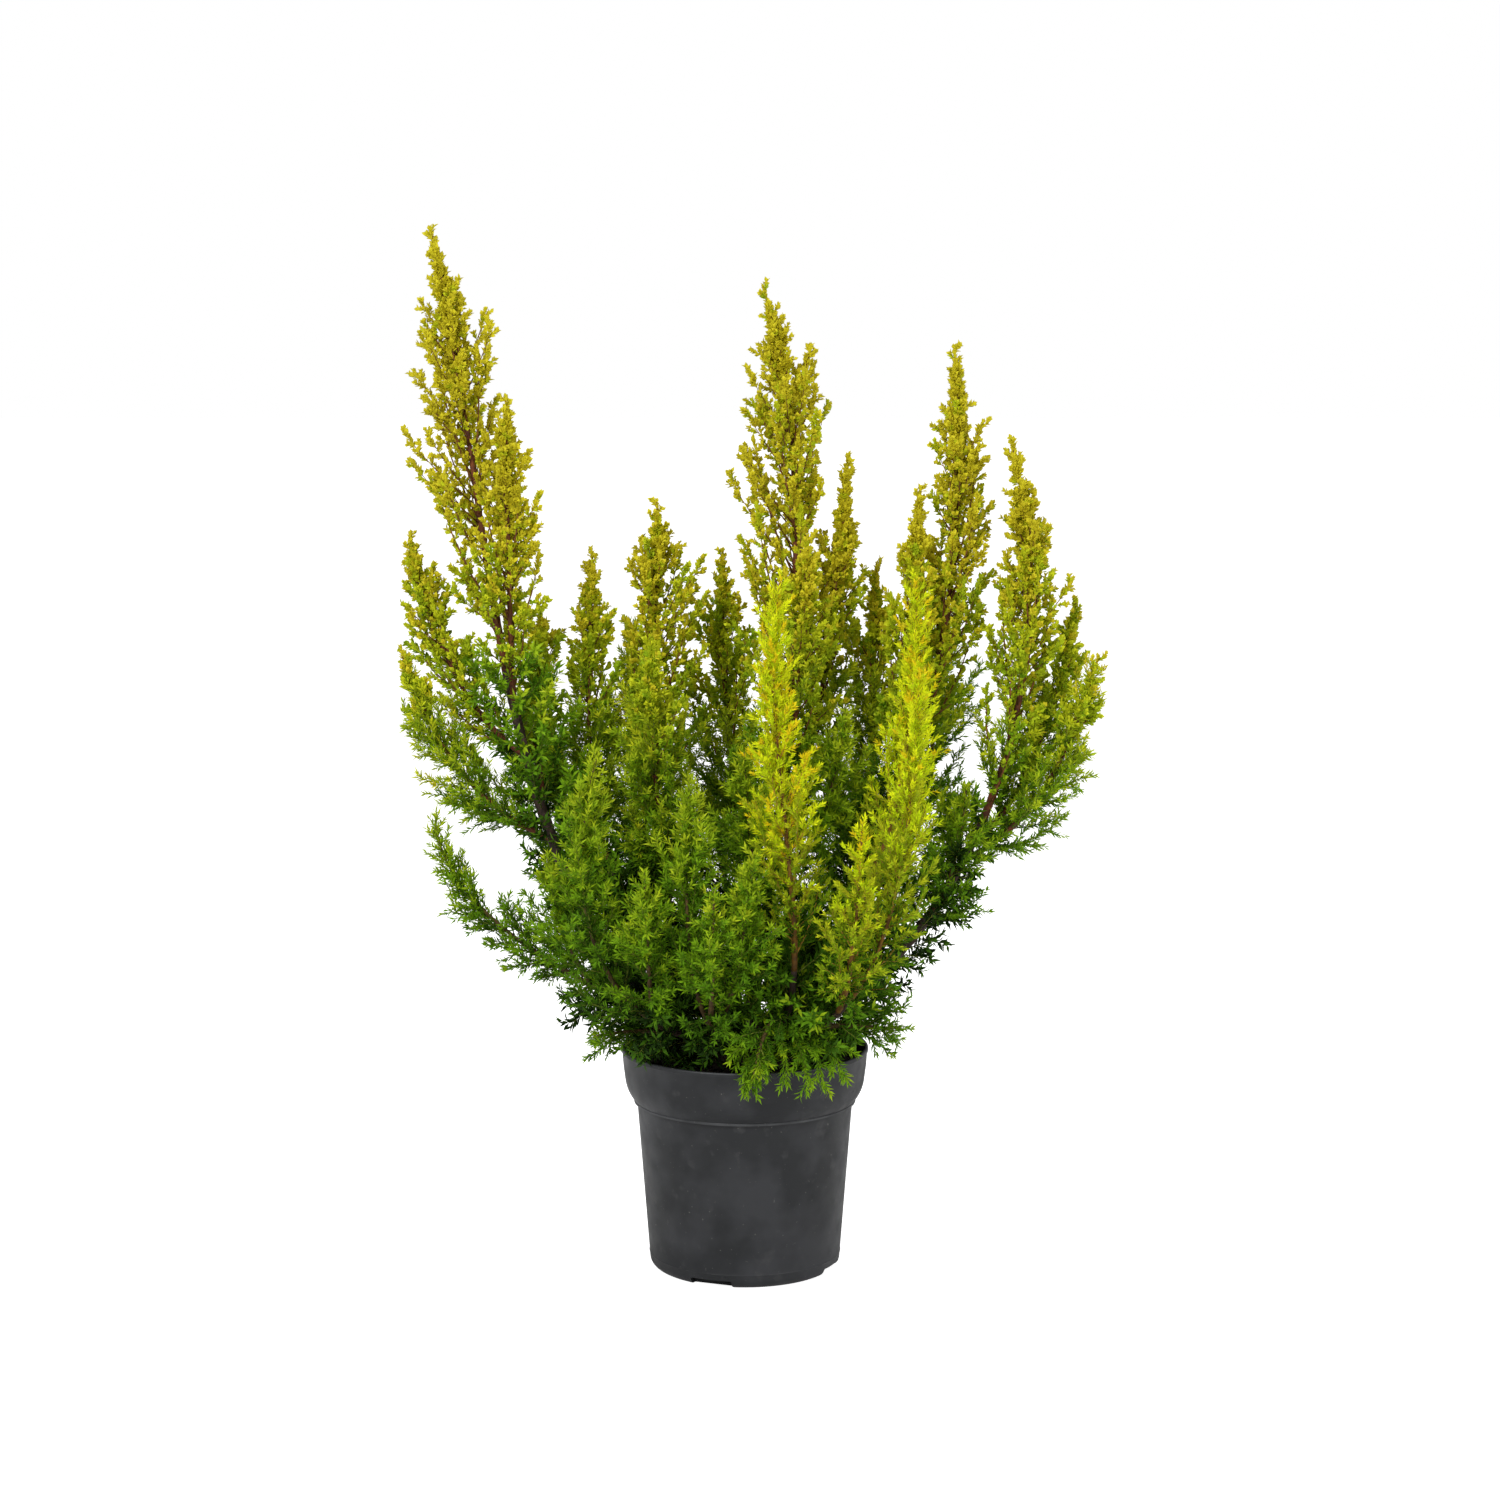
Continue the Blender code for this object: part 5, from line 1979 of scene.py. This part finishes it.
    def _grades(self, shoots: Shoots) -> np.ndarray:
        """Deals out the grades of green and gold, by each shoot's place on its mass's ramp.

        Args:
            shoots: The shoots.

        Returns:
            The number of each shoot's grade.
        """
        grades = list(Grade)
        dealt = np.zeros(len(shoots.length), int)
        dither = self.chance.uniform(-0.5, 0.5, len(dealt))
        for ramp, steps in RAMP_GRADES.items():
            rows = self.ramp[shoots.owner] == ramp
            place = np.clip(shoots.light[rows], 0, 1) * (len(steps) - 1) + dither[rows]
            numbers = np.array([grades.index(step) for step in steps])
            dealt[rows] = numbers[np.clip(np.round(place), 0, len(steps) - 1).astype(int)]
        return dealt

    def _needles(self, shoots: Shoots) -> None:
        """Sets whorls of needles on all shoots, and joins the needles by grade.

        Args:
            shoots: The shoots.
        """
        forms = np.array([astuple(NEEDLE_FORMS[habit]) for habit in Habit])
        length, width, spread, closing, pitch, shoulder = forms[shoots.habit].T
        whorls = np.maximum(1, np.round(shoots.length / pitch)).astype(int)
        rows, order = in_order(whorls * self.per_whorl)
        level, place = np.divmod(order, self.per_whorl)
        share = (level + self.first_whorl) / whorls[rows]
        turn = place * 2 * math.pi / self.per_whorl + level * self.whorl_turn
        turn = turn + self.chance.uniform(0, 2 * math.pi, len(whorls))[rows]
        turn = turn + self.chance.normal(0, self.turn_scatter, len(rows))
        way = shoots.way[rows]
        first, second = (side[rows] for side in sideways(shoots.way))
        outward = first * np.cos(turn)[:, None] + second * np.sin(turn)[:, None]
        angle = spread[rows] * (1 - closing[rows] * share)
        angle = angle * self.chance.uniform(*self.spread_scatter, len(rows))
        heading = way * np.cos(angle)[:, None] + outward * np.sin(angle)[:, None]
        facing = way * np.sin(angle)[:, None] - outward * np.cos(angle)[:, None]
        start = shoots.start[rows] + way * (share * shoots.length[rows])[:, None]
        points = self._blades(
            start,
            heading,
            facing,
            length[rows] * self.chance.uniform(*self.length_scatter, len(rows)),
            width[rows] * self.chance.uniform(*self.width_scatter, len(rows)),
            shoulder[rows],
        )
        kept = self.crown.holds(shoots.owner[rows], points[:, 1], True)
        kept &= self.crown.in_box(points)
        dealt = self._grades(shoots)[rows]
        LOG.info("shoots: %.1f m in all, needles: %d", shoots.length.sum(), int(kept.sum()))
        for number, grade in enumerate(Grade):
            chosen = kept & (dealt == number)
            self._needle_pieces(grade, points[chosen], shoots.owner[rows][chosen])

    def _blades(
        self,
        start: np.ndarray,
        heading: np.ndarray,
        facing: np.ndarray,
        length: np.ndarray,
        width: np.ndarray,
        shoulder: np.ndarray,
    ) -> np.ndarray:
        """The four corners of each needle: its root, its tip and its two widest points, which lie higher.

        Args:
            start: The needles' roots, as rows.
            heading: Their directions.
            facing: The directions of their upper sides.
            length: Their lengths.
            width: Their widths.
            shoulder: The shares of their lengths at which they are widest.

        Returns:
            An array of needles by corners by three.
        """
        roll = self.chance.normal(0, self.roll_scatter, len(length))[:, None]
        side = np.cross(heading, facing)
        upper = facing * np.cos(roll) + side * np.sin(roll)
        side = np.cross(heading, upper)
        tip = start + heading * length[:, None] + upper * (self.curl * length)[:, None]
        middle = start + heading * (shoulder * length)[:, None] + upper * (self.keel * width)[:, None]
        half = side * (0.5 * width)[:, None]
        return np.stack([start, tip, middle + half, middle - half], 1)

    def _needle_pieces(self, grade: Grade, points: np.ndarray, owners: np.ndarray) -> None:
        """Joins the needles of one grade into as few pieces as the limit on faces allows.

        Args:
            grade: The needles' colour.
            points: Their corners.
            owners: The numbers of their masses.
        """
        if not len(points):
            return
        faces = np.array(((0, 2, 3), (1, 3, 2), (0, 1, 2), (0, 3, 1)))
        pieces = math.ceil(len(points) * len(faces) / self.most_triangles)
        for number, rows in enumerate(np.array_split(np.arange(len(points)), pieces)):
            triangles = faces + 4 * np.arange(len(rows))[:, None, None]
            name = f"needles_{grade.name.lower()}" + (f"_{number + 1}" if pieces > 1 else "")
            piece = Bench.from_arrays(name, points[rows].reshape(-1, 3), triangles.reshape(-1, 3))
            masses = tuple(self.rows[owner].name + "_foliage" for owner in np.unique(owners[rows]))
            Bench.finish(piece, self.finishes[grade], GRADE_SLOTS[grade], masses)

    def _twig_wood(self, leaders: Twigs, sides: Twigs, small: Twigs) -> None:
        """The wood of all twigs: reddish among tufts, ochre in the gold plumes and green in the others.

        Args:
            leaders: The long twigs.
            sides: The side twigs, with those on boughs and over the rim.
            small: The small shoots.
        """
        kinds = (
            ("twigs_red", self.red_wood, (Habit.TUFT,)),
            ("twigs_ochre", self.ochre_wood, (Habit.BRIGHT,)),
            ("twigs_green", self.green_wood, (Habit.PLUME, Habit.INNER)),
        )
        sizes = (
            (leaders, (0.0, 0.3, 0.6, 0.85), (1.05 * MM, 0.85 * MM, 0.6 * MM, 0.35 * MM)),
            (sides, (0.0, 0.35, 0.72), (0.65 * MM, 0.5 * MM, 0.32 * MM)),
            (small, (0.0,), (0.36 * MM,)),
        )
        for name, finish, habits in kinds:
            offset, points, triangles = 0, [], []
            for group, shares, radii in sizes:
                chosen = group.of_habit(*habits)
                corners, faces = self._tubes([chosen.at(share) for share in shares], chosen.tip, radii)
                points.append(corners)
                triangles.append(faces + offset)
                offset += len(corners)
            piece = Bench.from_arrays(name, np.concatenate(points), np.concatenate(triangles))
            piece.data.shade_smooth()
            Bench.finish(piece, finish, Slot.BARK)

    @staticmethod
    def _tubes(
        rings: list[np.ndarray], tips: np.ndarray, radii: tuple[float, ...]
    ) -> tuple[np.ndarray, np.ndarray]:
        """Slim closed three-sided tubes through rings of points, each drawn to a point.

        Args:
            rings: The middle of each tube's rings, from its foot on.
            tips: The point that each tube ends in.
            radii: The radius at each ring.

        Returns:
            The corners and the faces of all tubes.
        """
        sides = 3
        first, second = sideways(unit(tips - rings[0]))
        columns = []
        for middle, radius in zip(rings, radii):
            for corner in range(sides):
                turn = 2 * math.pi * corner / sides
                columns.append(middle + radius * (math.cos(turn) * first + math.sin(turn) * second))
        corners = np.stack([*columns, tips], 1)
        faces = [(2, 1, 0)]
        last = sides * (len(rings) - 1)
        for low in range(0, last, sides):
            for corner in range(sides):
                after = (corner + 1) % sides
                faces.append((low + corner, low + after, low + sides + corner))
                faces.append((low + after, low + sides + after, low + sides + corner))
        faces += [(last + corner, last + (corner + 1) % sides, last + sides) for corner in range(sides)]
        triangles = np.array(faces) + corners.shape[1] * np.arange(len(tips))[:, None, None]
        return corners.reshape(-1, 3), triangles.reshape(-1, 3)


@dataclass
class Studio:
    """The pale floor, the soft light and the camera."""

    floor_size: float = 40.0
    camera_place: tuple[float, float, float] = (0.004, -2.4, 0.73)
    camera_tilt: float = math.radians(90 - 7.8)
    lens: float = 76.44
    sensor: float = 36.0
    aim: tuple[float, float, float] = (0.0, 0.0, 0.4)
    sky: float = 0.36
    floor_glow: float = 0.90

    def build(self) -> None:
        """Builds the floor, the world, the lamps and the camera."""
        self._floor()
        self._world()
        self._lamp("key_light", (-1.1, -2.2, 2.1), 1.2, 54.0)
        self._lamp("fill_light", (1.9, -1.6, 1.2), 1.4, 18.0)
        self._lamp("top_light", (0.2, 0.9, 2.3), 1.4, 22.0)
        self._camera()

    def _floor(self) -> None:
        """A wide white floor with a faint glow, so that it fades into the white background."""
        Bench.clear_selection()
        bpy.ops.mesh.primitive_plane_add(size=self.floor_size, location=(0, 0, -0.1 * MM))
        floor = Bench.settle(bpy.context.object, "studio_floor")
        made, graph, shader = start_finish("studio_white")
        shader.inputs["Base Color"].default_value = (0.8, 0.8, 0.8, 1)
        shader.inputs["Roughness"].default_value = 0.9
        shader.inputs["Specular IOR Level"].default_value = 0.0
        shader.inputs["Emission Color"].default_value = (1, 1, 1, 1)
        seen = graph.add("ShaderNodeLightPath").outputs["Is Camera Ray"]
        graph.feed(shader, "Emission Strength", graph.spread(seen, 0.0, self.floor_glow))
        floor.data.materials.append(made)
        floor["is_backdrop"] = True

    def _world(self) -> None:
        """White behind the plant, with a softer light from all sides."""
        world = bpy.data.worlds.new("studio_sky")
        world.use_nodes = True
        bpy.context.scene.world = world
        graph = Graph(world.node_tree)
        shade = world.node_tree.nodes["Background"]
        shade.inputs["Color"].default_value = (1, 1, 1, 1)
        seen = graph.add("ShaderNodeLightPath").outputs["Is Camera Ray"]
        graph.feed(shade, "Strength", graph.spread(seen, self.sky, 1.0))

    def _lamp(self, name: str, place: tuple[float, float, float], size: float, power: float) -> None:
        """A square soft lamp that looks at the middle of the plant.

        Args:
            name: The lamp's name.
            place: Where it hangs.
            size: The length of its side.
            power: Its power in watts.
        """
        Bench.clear_selection()
        bpy.ops.object.light_add(type="AREA", location=place)
        lamp = bpy.context.object
        lamp.name = name
        lamp.data.size = size
        lamp.data.energy = power
        lamp.rotation_euler = (Vector(self.aim) - Vector(place)).to_track_quat("-Z", "Y").to_euler()

    def _camera(self) -> None:
        """The camera, at the photograph's viewing angle."""
        Bench.clear_selection()
        bpy.ops.object.camera_add(location=self.camera_place, rotation=(self.camera_tilt, 0, 0))
        camera = bpy.context.object
        camera.name = "camera"
        camera.data.lens = self.lens
        camera.data.sensor_width = self.sensor
        bpy.context.scene.camera = camera
        bpy.context.scene.view_settings.view_transform = "Standard"


def main() -> None:
    """Builds every sub-assembly in order, and reports each piece."""
    logging.basicConfig(level=logging.INFO, format="%(message)s")
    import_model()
    cad_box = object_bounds()
    effects = Effects()
    pot = NurseryPot(PotPlastic(effects).build())
    pot.build()
    loose_peat = Peat(effects, "peat_crumbs", (0.012, 0.008, 0.005), (0.060, 0.040, 0.026))
    PottingSoil(Peat(effects).build(), loose_peat.build()).build()
    old_bark = Bark(effects, "old_bark", (0.030, 0.018, 0.012), (0.095, 0.055, 0.036)).build()
    red_fleck = (0.36, 0.17, 0.06)
    stem_barks = {
        Ramp.LIME: Bark(effects, "red_bark", (0.080, 0.018, 0.006), (0.250, 0.075, 0.020), red_fleck),
        Ramp.GREEN: Bark(effects, "brown_bark", (0.060, 0.032, 0.009), (0.170, 0.105, 0.024)),
        Ramp.GOLD: Bark(effects, "amber_bark", (0.120, 0.052, 0.007), (0.300, 0.140, 0.014)),
    }
    Rootstock(old_bark).build()
    skeleton = Skeleton()
    Wood(skeleton, old_bark, {ramp: bark.build() for ramp, bark in stem_barks.items()}).build()
    red = Bark(effects, "young_red_wood", (0.130, 0.042, 0.010), (0.320, 0.130, 0.026), red_fleck).build()
    ochre = Bark(effects, "young_ochre_wood", (0.360, 0.190, 0.020), (0.580, 0.340, 0.040)).build()
    green = Bark(effects, "young_green_wood", (0.130, 0.170, 0.012), (0.300, 0.370, 0.030)).build()
    finishes = {
        grade: NeedleFinish(effects, "needles_" + grade.name.lower(), grade.value).build() for grade in Grade
    }
    Foliage(skeleton, Crown(skeleton, pot, cad_box), finishes, red, ochre, green).build()
    Studio().build()


if __name__ == "__main__":
    main()
